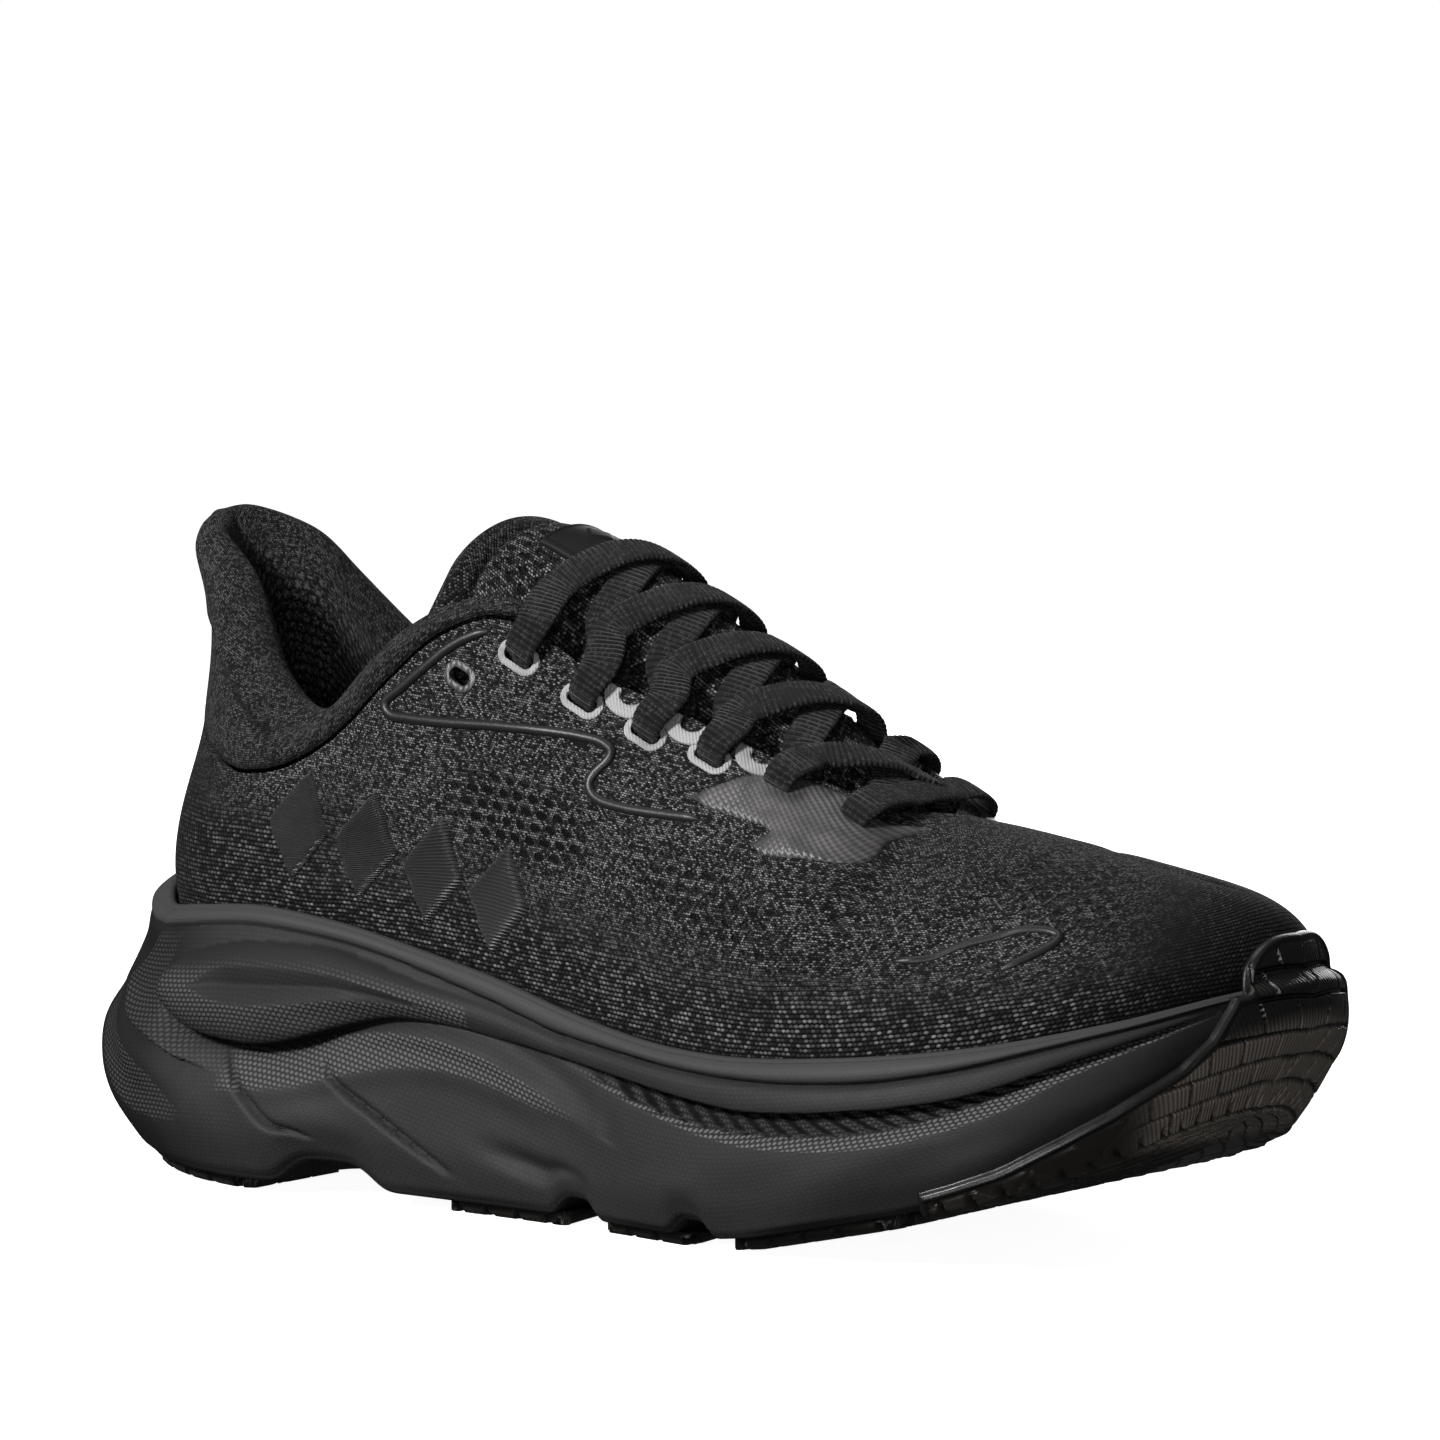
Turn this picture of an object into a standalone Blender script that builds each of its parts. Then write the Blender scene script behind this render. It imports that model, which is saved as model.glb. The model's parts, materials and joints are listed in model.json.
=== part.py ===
"""A right running shoe: foam sole, rubber outsole pieces, knit upper, collar, tongue, insole parts and lace.

The toe points to +X, the outer (lateral) side is -Y, and the shoe stands on Z = 0.
Tables are in millimetres, and the meshes are in metres.  Positions round the shoe are "stations": 0 is the
middle of the heel, 11 the tip of the toe, 0 to 11 the lateral side and 11 to 22 the medial side, up to the
heel again.
"""

import math

import bmesh
import bpy
import numpy as np
from mathutils import Vector
from mathutils.bvhtree import BVHTree

MM = 0.001
ROUND = 22                 # stations in one turn of the shoe
TIP = ROUND / 2
GAP = 0.35                 # between touching pieces
UPPER_THICK = 2.0
RUBBER_THICK = 2.4
COUNTER_THICK = 1.0
BOARD_THICK = 1.2
SOCKLINER_THICK = 4.5
LINING_DEPTH = UPPER_THICK + COUNTER_THICK + 2.6 * GAP   # from the upper's outside to the collar's outer face
CENTRED = np.array([3.64, -0.92, 0])     # moves the middle of the shoe's box over the origin
LACE_WIDTH = 6.4
LACE_THICK = 1.5
SLOT_LENGTH = 8.4
SLOT_WIDTH = 4.0
RING_WIDTH = 1.7
AGLET_HALF_WIDTH = 1.5
AGLET_HALF_THICK = 1.1

# Where the upper meets the sole, seen from above: x, y for each station.
FEATHER = [
    (-132, 0), (-127, -19), (-113, -31), (-85, -36), (-45, -36.5), (0, -41), (40, -48), (72, -50.5),
    (100, -44.5), (122, -30), (135, -10), (139, 11.5), (132.5, 31), (117, 42.5), (90, 49.5), (60, 51),
    (25, 45), (-15, 36.5), (-50, 33), (-88, 35), (-114, 30), (-128, 17),
]
# station, height of the midsole's rim
RIM = [
    (0, 65), (1, 62.5), (1.7, 58.5), (2.3, 59.5), (3, 60.5), (3.5, 58.5), (4, 54.5), (4.5, 50),
    (5, 44.5), (5.6, 40.5), (6, 39.7), (7, 41.5), (8, 45), (9, 50), (10, 54.5), (11, 56), (12, 54.5),
    (13, 50), (14, 45), (15, 42), (16, 40.5), (16.8, 44.5), (17.5, 50), (18, 54.5), (19, 60.5),
    (20, 59.5), (20.5, 58.8), (21, 62.5),
]
# x, height of the ground side and of the foam floor under the foot
BASE = [(-156, 19), (-146, 9.5), (-138, 5), (-125, 2), (-108, 0.5), (-96, 0), (40, 0), (52, 1.6),
        (64, 4.2), (76, 6.8), (88, 9.4), (100, 12.4), (110, 15.6), (118, 19.2), (125, 23.4), (131, 28.5),
        (138, 36), (150, 46)]
FLOOR = [(-135, 37), (-100, 35.5), (-50, 33.5), (0, 30), (40, 27.5), (60, 27.5), (80, 29.5), (100, 33),
         (120, 38), (142, 43.5)]
# The sole's side: how far down from rim to ground each line runs, and how far outside the feather line it is.
SIDE_LEVELS = (0.05, 0.2, 0.4, 0.6, 0.8, 1.0)
SIDE = [
    # station, outward at each level
    (0, 5, 8, 14, 20, 18, 6.5), (1, 5, 7.5, 12.5, 17.5, 16, 6), (2, 4, 6, 9.5, 13.5, 13.5, 7.5),
    (3, 3.5, 5, 7, 9.5, 11, 7.5), (4, 3, 3.5, 4.5, 6, 7, 4.5), (5, 3, 3, 3.5, 4.5, 5, 3),
    (6, 3.5, 4, 5, 6, 6, 3.5), (7, 3.5, 4.5, 6, 7, 6.5, 4), (8, 3.5, 4.5, 6, 7, 7, 4),
    (9, 3.5, 4.5, 5.5, 5.8, 3.6, -0.8), (10, 3, 3.4, 3.8, 3.2, -0.4, -7), (11, 2.4, 2.4, 2.6, 1.6, -2.4, -10),
]
# The shoe's centre line seen from above: x, y
CENTRE = [(-160, 0), (55, 0), (70, 1.5), (85, 4), (103, 8), (121, 12), (160, 14)]
# The upper's top edge, under the collar's lower seam and along the throat; over the toe it is the line where
# the two sides meet.  station, x, distance from the centre line, z
TOP = [
    (0, -127.5, 0, 112), (0.6, -125.5, 9, 106), (1.2, -120, 19, 97.5), (2, -107, 29, 90.5),
    (2.6, -95, 33.5, 88.5), (3.1, -81, 35.5, 91), (3.6, -67, 35, 99), (4, -55, 34, 110),
    (4.3, -44, 32, 119), (4.6, -31, 29, 123.5), (4.82, -22, 27.5, 121.5), (5.1, -9, 26, 114),
    (5.5, 10, 24, 107), (6, 32, 21.5, 98.5), (6.5, 49, 17, 91.5), (6.82, 59.5, 10, 87),
    (7, 65, 0, 85.8), (7.5, 76, 0, 83.8), (8, 86, 0, 81.8), (9, 103, 0, 78), (10, 115.5, 0, 75),
    (11, 121, 0, 73.5),
]
THROAT_END = 7             # from this station on, the two sides of the upper meet
# Handles of the curve that rises from the rim to that edge: up and out at the rim, down and out at the edge.
HANDLES = [
    (0, 18, 3, 16, 0.5), (1, 14, 3, 12, 1.5), (2, 10, 2.5, 9, 3), (3, 10, 2.5, 10, 2.5),
    (4, 22, 3, 20, 2.5), (5, 26, 3, 16, 8), (6, 22, 2.5, 8, 13), (7, 17, 2, 1.5, 26),
    (8, 14, 2, 0.5, 24), (9, 13, 2, 0.5, 18), (10, 12, 1.5, 0.2, 12), (11, 11, 1.5, 0, 9.5),
]
# The collar's ridge, from the heel tab to the top of the throat: station, x, distance from the centre line,
# z, outward bulge below it, pad thickness.
RIDGE = [
    (0, -135.5, 0, 143.3, -3, 8.5), (0.6, -131.5, 8, 140, -2.5, 8.5), (1.2, -118.5, 15.5, 132, -1, 9),
    (1.8, -108.5, 21.5, 121.5, 1, 9.5), (2.4, -96.5, 27, 110.5, 2, 9.5), (2.9, -84, 29.5, 103, 2.5, 9),
    (3.2, -76, 31, 103.5, 2, 8), (3.6, -65, 31.5, 112.5, 1.5, 6), (4, -54, 31, 121, 1.2, 4.2),
    (4.3, -43, 29.5, 126.3, 1, 3.6), (4.6, -31, 27.5, 128, 1, 3.2), (4.76, -24.5, 26.5, 126.5, 0.8, 3),
    (5, -14, 25.5, 119.5, 0.5, 2.6),
]
COLLAR_END = 4.58
# How much higher the ridge lies on the medial side
RIDGE_LIFT = [(0, 0), (0.6, 4), (1.2, 7), (1.8, 8), (2.4, 7), (2.9, 4), (3.2, 2), (3.6, 0), (11, 0)]
# The tongue's centre line, along its outer face: x, z, thickness, half width, how far its sides would drop at
# 90 degrees
TONGUE = [(76, 78.4, 2.4, 20, 16), (69, 80.9, 2.8, 22, 20), (62.5, 82.2, 3.2, 23.5, 25),
          (55.5, 86.8, 3.6, 24.5, 30), (47, 94.6, 4.2, 25, 35), (38, 102.8, 4.6, 25, 38),
          (26, 110.5, 4.8, 25.5, 42), (12, 119.5, 5, 25.5, 46), (0, 127, 5.2, 25.5, 48),
          (-10, 132.5, 5.6, 25.5, 47), (-20, 137, 6, 25.5, 41), (-30, 140.3, 6.6, 25.5, 30),
          (-40, 142, 7, 25.5, 20), (-50, 141.4, 6.6, 25.5, 14)]
TONGUE_SPREAD = math.radians(62)
TONGUE_AXIS = (74, 1.9, 79.5)          # it bends above its stitching
SOCKLINER_AXIS = (131, 12, 41.5)       # it peels up from the heel, held at the toe
# The holes for the lace: x, y, z near the upper's face; the last pair, at the top, is left empty.
EYELETS = [(54.5, -21.5, 82.6), (38.5, -23.5, 89), (23, -25.5, 95.4), (8, -27.5, 100.8),
           (-7.5, -29.5, 107.6), (-23.5, -30.5, 116), (-37, -32.5, 111.4)]
LACED = len(EYELETS) - 1
RINGS_FROM = 2             # the film carries the lowest holes
# Round the tongue, where the throat's edge lies over it
THROAT_ANGLES = (0.46, 0.68, 0.76, 0.84, 0.88, 0.88)
# The grey film beside the base of the throat: station, and shares of the upper's height that it lies between
FILM = [(5.95, 0.79, 0.84), (6.1, 0.77, 0.86), (6.25, 0.74, 0.9), (6.4, 0.7, 0.95), (6.5, 0.64, 0.97),
        (6.8, 0.62, 0.97), (6.97, 0.72, 0.97)]
MARK_STATIONS = (5.35, 5.66, 6.05)   # U-shaped film marks on the throat's edge, between the holes
MARK_RADIUS = 2.5
MARK_WIDTH = 1.5
# Raised lines bonded to the upper, as x and z seen from the side
QUARTER_LINE = [(-31.5, 121), (-35, 120), (-40, 117.6), (-46, 113), (-52, 108.3), (-56, 105),
                (-55, 103.2), (-50, 102.4), (-40, 101.9), (-28, 101.7), (-15, 101.2), (-6, 100.4),
                (0.5, 98.9), (2.8, 97.3), (1.8, 95.4), (-0.8, 93), (-1.4, 90.5), (1.1, 88.3), (7, 86.8),
                (16.6, 85.9), (27.5, 85.2)]
TOE_LINE = [(80, 60.6), (86, 61.7), (91, 64.3), (97, 66.2), (102, 67.2), (106, 67.1), (109.5, 65.7),
            (108.3, 64.2), (104.8, 61.8), (101.5, 59.8)]
LINE_WIDTH = 2.0
# Satin-stitched diamonds on the quarter: x and z of each centre
DIAMONDS = [(-77, 78.5), (-58.5, 75.3), (-40, 71), (-21.5, 66.2)]
DIAMOND_HALF = (8.6, 12)
THROAT_WAY = Vector((0.9, 0, -0.436))   # along the row of eyelets, down towards the toe

RUBBER_PODS = {
    # name: from station, to station, from side to side (-1 lateral edge, 1 medial edge)
    "outsole_heel_lateral": (0.9, 2.95, -0.94, -0.12),
    "outsole_heel_medial": (0.9, 2.95, 0.12, 0.94),
    "outsole_midfoot_lateral_rear": (4.15, 4.95, -0.94, -0.3),
    "outsole_midfoot_lateral_front": (5.15, 5.85, -0.94, -0.25),
    "outsole_midfoot_medial": (4.7, 5.85, 0.3, 0.94),
    "outsole_forefoot_lateral": (6.05, 7.5, -0.94, -0.08),
    "outsole_forefoot_medial": (6.05, 7.5, 0.08, 0.94),
}
TOE_RUBBER_FROM = 7.7
REACHES = (1, 0.8, 0.6, 0.4, 0.2, 0)
TOE_RUBBER_TOP = [(7.7, 0.5), (8.2, 0.7), (8.6, 1.05), (9.1, 1.4), (9.5, 1.7), (9.75, 2.4), (9.95, 3.6),
                  (10.15, 5), (11.85, 5), (12.05, 3.6), (12.25, 2.4), (12.5, 1.7), (12.9, 1.4),
                  (13.4, 1.05), (13.8, 0.7), (14.3, 0.5)]

COLOURS = {
    # material: colour, roughness, metallic
    "foam": ((0.035, 0.035, 0.037), 0.75, 0),
    "outsole_rubber": ((0.018, 0.018, 0.019), 0.5, 0),
    "knit": ((0.016, 0.016, 0.018), 0.95, 0),
    "lining": ((0.014, 0.014, 0.015), 0.95, 0),
    "board": ((0.3, 0.3, 0.31), 0.9, 0),
    "sockliner": ((0.03, 0.03, 0.032), 0.9, 0),
    "counter": ((0.08, 0.08, 0.08), 0.5, 0),
    "lace": ((0.012, 0.012, 0.013), 0.85, 0),
    "aglet": ((0.01, 0.01, 0.01), 0.2, 0),
    "film_grey": ((0.28, 0.27, 0.27), 0.6, 0),
    "film_black": ((0.03, 0.03, 0.032), 0.4, 0),
}


def cubic(knots, values, at, period=None):
    """A smooth curve through values at knots; each slope comes from the neighbours."""
    knots, values = np.asarray(knots, float), np.asarray(values, float)
    values = values.reshape(len(knots), -1)
    at = np.asarray(at, float)
    if period:
        at = np.mod(at - knots[0], period) + knots[0]
        knots = np.concatenate([knots[-1:] - period, knots, knots[:2] + period])
        values = np.concatenate([values[-1:], values, values[:2]])
    gap = np.diff(knots)[:, None]
    slope = np.diff(values, axis=0) / gap
    inner = (slope[:-1] * gap[1:] + slope[1:] * gap[:-1]) / (gap[:-1] + gap[1:])
    tangent = np.concatenate([slope[:1], inner, slope[-1:]])
    i = np.clip(np.searchsorted(knots, at, side="right") - 1, 0, len(knots) - 2)
    h = gap[i]
    t = np.clip((at - knots[i])[..., None] / h, 0, 1)
    made = (values[i] * (2 * t**3 - 3 * t**2 + 1) + tangent[i] * h * (t**3 - 2 * t**2 + t)
            + values[i + 1] * (3 * t**2 - 2 * t**3) + tangent[i + 1] * h * (t**3 - t**2))
    return made[..., 0] if made.shape[-1] == 1 else made


def read(table, stations):
    """A table at stations.  One that stops at the toe's tip is used for both sides."""
    rows = np.array(table, float)
    stations = np.asarray(stations, float)
    if rows[-1, 0] <= TIP:
        return cubic(rows[:, 0], rows[:, 1:], TIP - np.abs(np.mod(stations, ROUND) - TIP))
    return cubic(rows[:, 0], rows[:, 1:], stations, ROUND)


def side_sign(stations):
    return np.where(np.mod(stations, ROUND) > TIP, 1.0, -1.0)


def at_height(xy, z):
    return np.concatenate([xy, np.asarray(z)[..., None]], -1)


def feather(stations):
    return cubic(np.arange(ROUND), FEATHER, stations, ROUND)


def outward(stations):
    """The horizontal direction straight out of the shoe."""
    along = feather(np.asarray(stations) + 0.02) - feather(np.asarray(stations) - 0.02)
    along /= np.linalg.norm(along, axis=-1, keepdims=True)
    return np.stack([along[..., 1], -along[..., 0], 0 * along[..., 0]], -1)


def centre(x):
    return np.interp(x, *zip(*CENTRE))


def base_height(x):
    return np.interp(x, *zip(*BASE))


def floor_height(x):
    return cubic(*zip(*FLOOR), x)


def top_edge(stations):
    x, width, z = np.moveaxis(read(TOP, stations), -1, 0)
    lateral = TIP - np.abs(np.mod(stations, ROUND) - TIP)
    width = np.where(lateral >= THROAT_END - 1e-6, 0, np.maximum(width, 0))
    return np.stack([x, centre(x) + side_sign(stations) * width, z], -1)


def ridge(stations):
    x, width, z = np.moveaxis(read(RIDGE, stations)[..., :3], -1, 0)
    z = z + np.where(side_sign(stations) > 0, read(RIDGE_LIFT, stations), 0)
    return np.stack([x, centre(x) + side_sign(stations) * width, z], -1)


def upper(stations, share):
    """The upper's outer face: share 0 at the midsole's rim, 1 at the top edge, -1 at the foot bed."""
    stations, share = np.broadcast_arrays(np.asarray(stations, float), np.asarray(share, float))
    normal, up = outward(stations), np.array([0, 0, 1.0])
    low = at_height(feather(stations), read(RIM, stations))
    high = top_edge(stations)
    rise, out, fall, over = np.moveaxis(read(HANDLES, stations), -1, 0)[..., None]
    t = np.clip(share, 0, 1)[..., None]
    curve = (low * (1 - t)**3 + 3 * (low + up * rise + normal * out) * t * (1 - t)**2
             + 3 * (high - up * fall + normal * over) * t**2 * (1 - t) + high * t**3)
    below = np.clip(-share, 0, 1)[..., None]
    sunk = low - normal * 5 * below**2
    depth = (floor_height(sunk[..., 0]) + GAP)[..., None] - low[..., 2:]
    sunk = sunk + up * depth * below
    return np.where(share[..., None] < 0, sunk, curve)


def upper_normal(stations, share):
    """Straight out of the upper's face."""
    stations, share = np.broadcast_arrays(np.asarray(stations, float), np.asarray(share, float))
    here = np.clip(share, -0.98, 0.98)

    def one(at):
        along = upper(at + 0.03, here) - upper(at - 0.03, here)
        rise = upper(at, here + 0.02) - upper(at, here - 0.02)
        made = np.cross(along, rise)
        return made / np.linalg.norm(made, axis=-1, keepdims=True)

    made = one(stations)
    lateral = TIP - np.abs(np.mod(stations, ROUND) - TIP)
    seam = (share > 0.99) & (lateral >= THROAT_END - 1e-6)
    made = np.where(seam[..., None], made + one(ROUND - stations), made)
    return made / np.linalg.norm(made, axis=-1, keepdims=True)


def sole_wall(stations, level):
    """The midsole's outer wall: level 0 at its rim, 1 at the ground side."""
    stations, level = np.broadcast_arrays(np.asarray(stations, float), np.asarray(level, float))
    outs = read(SIDE, stations)
    knots = np.array([0, *SIDE_LEVELS])
    values = np.concatenate([np.full(outs.shape[:-1] + (1,), 2.6), outs], -1).reshape(-1, len(knots))
    out = np.array([cubic(knots, row, at) for row, at in zip(values, level.reshape(-1))]).reshape(level.shape)
    rim = read(RIM, stations)
    point = at_height(feather(stations), rim) + outward(stations) * out[..., None]
    ground = base_height(point[..., 0]) + RUBBER_THICK + 0.5
    point[..., 2] = rim + (ground - rim) * level
    return point


def material(slot):
    made = bpy.data.materials.get(slot)
    if made is None:
        colour, roughness, metallic = COLOURS[slot]
        made = bpy.data.materials.new(slot)
        made.use_nodes = True
        shader = made.node_tree.nodes["Principled BSDF"]
        shader.inputs["Base Color"].default_value = (*colour, 1)
        shader.inputs["Roughness"].default_value = roughness
        shader.inputs["Metallic"].default_value = metallic
    return made


def body(name, points, faces, slot, collection, origin=None):
    """A closed body, turned outward, from points in millimetres; its origin can lie on a joint's axis."""
    points = np.asarray(points, float) + CENTRED
    shift = np.zeros(3) if origin is None else np.asarray(origin, float) + CENTRED
    mesh = bpy.data.meshes.new(name)
    mesh.from_pydata([tuple(p) for p in (points - shift) * MM], [], [tuple(int(i) for i in f) for f in faces])
    work = bmesh.new()
    work.from_mesh(mesh)
    bmesh.ops.remove_doubles(work, verts=work.verts, dist=0.02 * MM)
    bmesh.ops.dissolve_degenerate(work, edges=work.edges, dist=0.01 * MM)
    loose = [v for v in work.verts if not v.link_faces]
    bmesh.ops.delete(work, geom=loose, context="VERTS")
    bmesh.ops.triangulate(work, faces=[f for f in work.faces if len(f.verts) > 4])
    bmesh.ops.recalc_face_normals(work, faces=work.faces)
    if work.calc_volume(signed=True) < 0:
        bmesh.ops.reverse_faces(work, faces=work.faces)
    work.to_mesh(mesh)
    work.free()
    made = bpy.data.objects.new(name, mesh)
    made.location = Vector(shift * MM)
    made.data.materials.append(material(slot))
    collection.objects.link(made)
    return made


def loft(sections, ring=False, cap=True):
    """Faces through closed sections of the same count."""
    sections = np.asarray(sections, float)
    count, size = sections.shape[:2]
    faces = []
    for i in range(count if ring else count - 1):
        for j in range(size):
            k = (j + 1) % size
            n = (i + 1) % count
            faces.append((i * size + j, i * size + k, n * size + k, n * size + j))
    if cap and not ring:
        faces.append(tuple(range(size))[::-1])
        faces.append(tuple((count - 1) * size + j for j in range(size)))
    return sections.reshape(-1, 3), faces


def layer(points, normals, faces, outer, inner):
    """A sheet between two distances from a face, closed round every open edge."""
    keys = {}
    index = []
    for p in np.round(points, 3):
        index.append(keys.setdefault(tuple(p + 0.0), len(keys)))
    index = np.array(index)
    count = len(keys)
    place, way = np.zeros((count, 3)), np.zeros((count, 3))
    place[index] = points
    np.add.at(way, index, normals)
    way /= np.linalg.norm(way, axis=1, keepdims=True)
    kept = []
    for face in faces:
        face = [int(index[i]) for i in face]
        face = [a for a, b in zip(face, face[1:] + face[:1]) if a != b]
        if len(set(face)) > 2:
            kept.append(tuple(face))
    edges = {(a, b) for face in kept for a, b in zip(face, face[1:] + face[:1])}
    made = list(kept) + [tuple(i + count for i in face[::-1]) for face in kept]
    made += [(b, a, a + count, b + count) for a, b in edges if (b, a) not in edges]
    return np.concatenate([place + way * outer, place + way * inner]), made


def patch(stations, shares):
    """Points, normals and faces of the upper's face over a grid of stations and shares."""
    s, t = np.meshgrid(stations, shares, indexing="ij")
    rows, size = s.shape
    faces = [(i * size + j, (i + 1) * size + j, (i + 1) * size + j + 1, i * size + j + 1)
             for i in range(rows - 1) for j in range(size - 1)]
    return upper(s, t).reshape(-1, 3), upper_normal(s, t).reshape(-1, 3), faces


def joined(*parts):
    points, normals, faces, count = [], [], [], 0
    for p, n, f in parts:
        points.append(p)
        normals.append(n)
        faces += [tuple(i + count for i in face) for face in f]
        count += len(p)
    return np.concatenate(points), np.concatenate(normals), faces


def both_sides(stations, shares):
    """A patch on each side of the shoe, which meet where the two sides of the upper do."""
    stations = np.asarray(stations, float)
    return joined(patch(stations, shares), patch((ROUND - stations)[::-1], shares))


def sole_loops():
    """Closed sections of the midsole from side to side, one for each pair of stations."""
    loops = []
    levels = np.array([0, *SIDE_LEVELS])
    across = np.linspace(-1, 1, 5)[1:-1]
    for s in np.concatenate([[0, 0.3, 0.7], np.arange(1.1, 10, 0.46), [10, 10.4, 10.75, 11]]):
        sides = []
        for station in (s, ROUND - s):
            normal = outward(np.array([station]))[0]
            rim = upper([station], [0])[0]
            lip = [rim + normal * out + np.array([0, 0, up])
                   for out, up in ((0.55, -1.2), (1.2, 0.5))]
            inside = [upper([station], [share])[0] + normal * 0.55 for share in (-1, -0.6, -0.25)]
            inside[0][2] -= GAP
            wall = sole_wall(np.full(len(levels), station), levels)
            sides.append(np.array(inside + lip + list(wall)))
        bottom = [sides[0][-1] * (1 - w) / 2 + sides[1][-1] * (1 + w) / 2 for w in across]
        for p in bottom:
            p[2] = base_height(p[0]) + RUBBER_THICK + 0.5
        floor = [sides[1][0] * (1 - w) / 2 + sides[0][0] * (1 + w) / 2 for w in across]
        for p in floor:
            p[2] = floor_height(p[0])
        loops.append(list(sides[0]) + bottom + list(sides[1][::-1]) + floor)
    return loops


def plate_loops(stations, inset, low, high, across=4):
    """Sections of a flat piece that lies over the foot bed, from low to high above it."""
    loops = []
    for s in stations:
        ends = []
        for station in (s, ROUND - s):
            normal = outward(np.array([station]))[0]
            ends.append(upper([station], [-1])[0] - normal * inset)
        row = np.array([ends[0] * (1 - w) / 2 + ends[1] * (1 + w) / 2 for w in np.linspace(-1, 1, across)])
        under, over = row.copy(), row.copy()
        under[:, 2] = floor_height(row[:, 0]) + low
        over[:, 2] = floor_height(row[:, 0]) + high
        loops.append(list(under) + list(over[::-1]))
    return loops


def ground_point(s, w, lift):
    """A point on the ground side, between the two edges at station s, w from -1 to 1."""
    a = sole_wall(np.array([s]), np.array([1.0]))[0]
    b = sole_wall(np.array([ROUND - s]), np.array([1.0]))[0]
    p = a * (1 - w) / 2 + b * (1 + w) / 2
    p[2] = base_height(p[0]) + lift
    return p


def pod_loops(start, end, left, right):
    """Sections of one rubber piece under the midsole, with narrower ends and a chamfered ground face."""
    loops = []
    stations = np.linspace(start, end, max(4, int((end - start) / 0.3)))
    for i, s in enumerate(stations):
        tight = 0.1 * (1 if i in (0, len(stations) - 1) else 0)
        a, b = left + tight, right - tight
        trim = 0.05 * (1 if i not in (0, len(stations) - 1) else 0.6)
        ws = np.linspace(a, b, 3)
        grounds = np.linspace(a + trim, b - trim, 3)
        loops.append([ground_point(s, w, 0) for w in grounds] + [ground_point(s, w, 0.9) for w in (b,)]
                     + [ground_point(s, w, RUBBER_THICK) for w in ws[::-1]] + [ground_point(s, a, 0.9)])
    return loops


def toe_rubber_faces():
    """The front rubber piece as a surface: under the sole, up its front wall and onto the upper's toe."""
    tops = np.array(TOE_RUBBER_TOP)
    points, rows = [], []
    stations = np.concatenate([np.arange(TOE_RUBBER_FROM, 10, 0.4), [10, 10.35, 10.7, 11]])
    for s in stations:
        sides = []
        for station in (s, ROUND - s):
            normal = outward(np.array([station]))[0]
            rise = float(np.interp(station, tops[:, 0], tops[:, 1])) / 5
            reach = min(1.0, rise / 0.8)
            line = [sole_wall(np.array([station]), np.array([1 - reach * u]))[0]
                    + normal * 1.25 for u in REACHES]
            for p, u in zip(line, REACHES):
                p[2] -= 3 * GAP * (1 - min(1, u * 4))
            tab = max(0.0, (rise - 0.8) / 0.2)
            above = []
            for u in (1, 0.75, 0.5, 0.28):
                lift = 0.42 * u
                skin = upper([station], [lift])[0] + upper_normal([station], [lift])[0] * (GAP + 0.55)
                low = line[0] + np.array([0, 0, 1.2]) * min(1, 4 * u)
                above.append(line[0] * (1 - tab) + (skin if u < 1 or tab > 0 else low) * tab)
            sides.append(above + line)
        under = [sides[0][-1] * (1 - w) / 2 + sides[1][-1] * (1 + w) / 2 for w in np.linspace(-1, 1, 6)[1:-1]]
        for p in under:
            p[2] = min(p[2], base_height(p[0]) + RUBBER_THICK - 0.2)
        rows.append(sides[0] + under + sides[1][::-1])
    points = np.array(rows)
    count, size = points.shape[:2]
    faces = [(i * size + j, i * size + j + 1, (i + 1) * size + j + 1, (i + 1) * size + j)
             for i in range(count - 1) for j in range(size - 1)]
    flat = points.reshape(-1, 3)
    normals = np.zeros_like(flat)
    for face in faces:
        p = flat[list(face)]
        across = np.cross(p[2] - p[0], p[3] - p[1])
        for i in face:
            normals[i] += across
    length = np.linalg.norm(normals, axis=1, keepdims=True)
    normals = np.where(length > 1e-9, normals / np.maximum(length, 1e-9), [1, 0, 0])
    if normals[(count // 2) * size + size // 2][2] > 0:
        normals = -normals
        faces = [face[::-1] for face in faces]
    return flat, normals, faces


def collar_path(s, depth):
    """The collar's face at a station, from its lower seam over the ridge and down inside the shoe."""
    normal = outward(np.array([s]))[0]
    up = np.array([0, 0, 1.0])
    _, _, _, bulge, pad = read(RIDGE, np.array([s]))[0]
    seam = top_edge(np.array([s]))[0] + up * 0.8
    high = ridge(np.array([s]))[0] - up * pad * 0.4
    points = [seam * (1 - u) + high * u + normal * bulge * 4 * u * (1 - u) for u in (0, 0.35, 0.7, 1)]
    middle = high - normal * pad / 2
    points += [middle + normal * pad / 2 * math.cos(a) + up * pad * 0.4 * math.sin(a)
               for a in np.radians((50, 90, 130, 180))]
    inner = points[-1]
    here = upper(s, 0.88) - normal * (pad + 2.4)
    points += [inner * (1 - u) + here * u - normal * 1.2 * u * (1 - u) for u in (0.5, 1)]
    for share, more in ((0.6, 3.2), (0.3, 1.6), (0, 1.35), (-0.55, 1.35)):
        if share >= depth:
            points.append(upper(s, share) - upper_normal(s, share) * (LINING_DEPTH + more))
    return np.array(points), normal


def inset_path(points, normal, distance):
    """The path moved into the pad by a distance."""
    along = np.gradient(points, axis=0)
    side = np.cross(normal, [0, 0, 1.0])
    way = np.cross(along, side)
    way /= np.linalg.norm(way, axis=1, keepdims=True)
    if way[0] @ normal > 0:
        way = -way
    return points + way * distance


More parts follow.
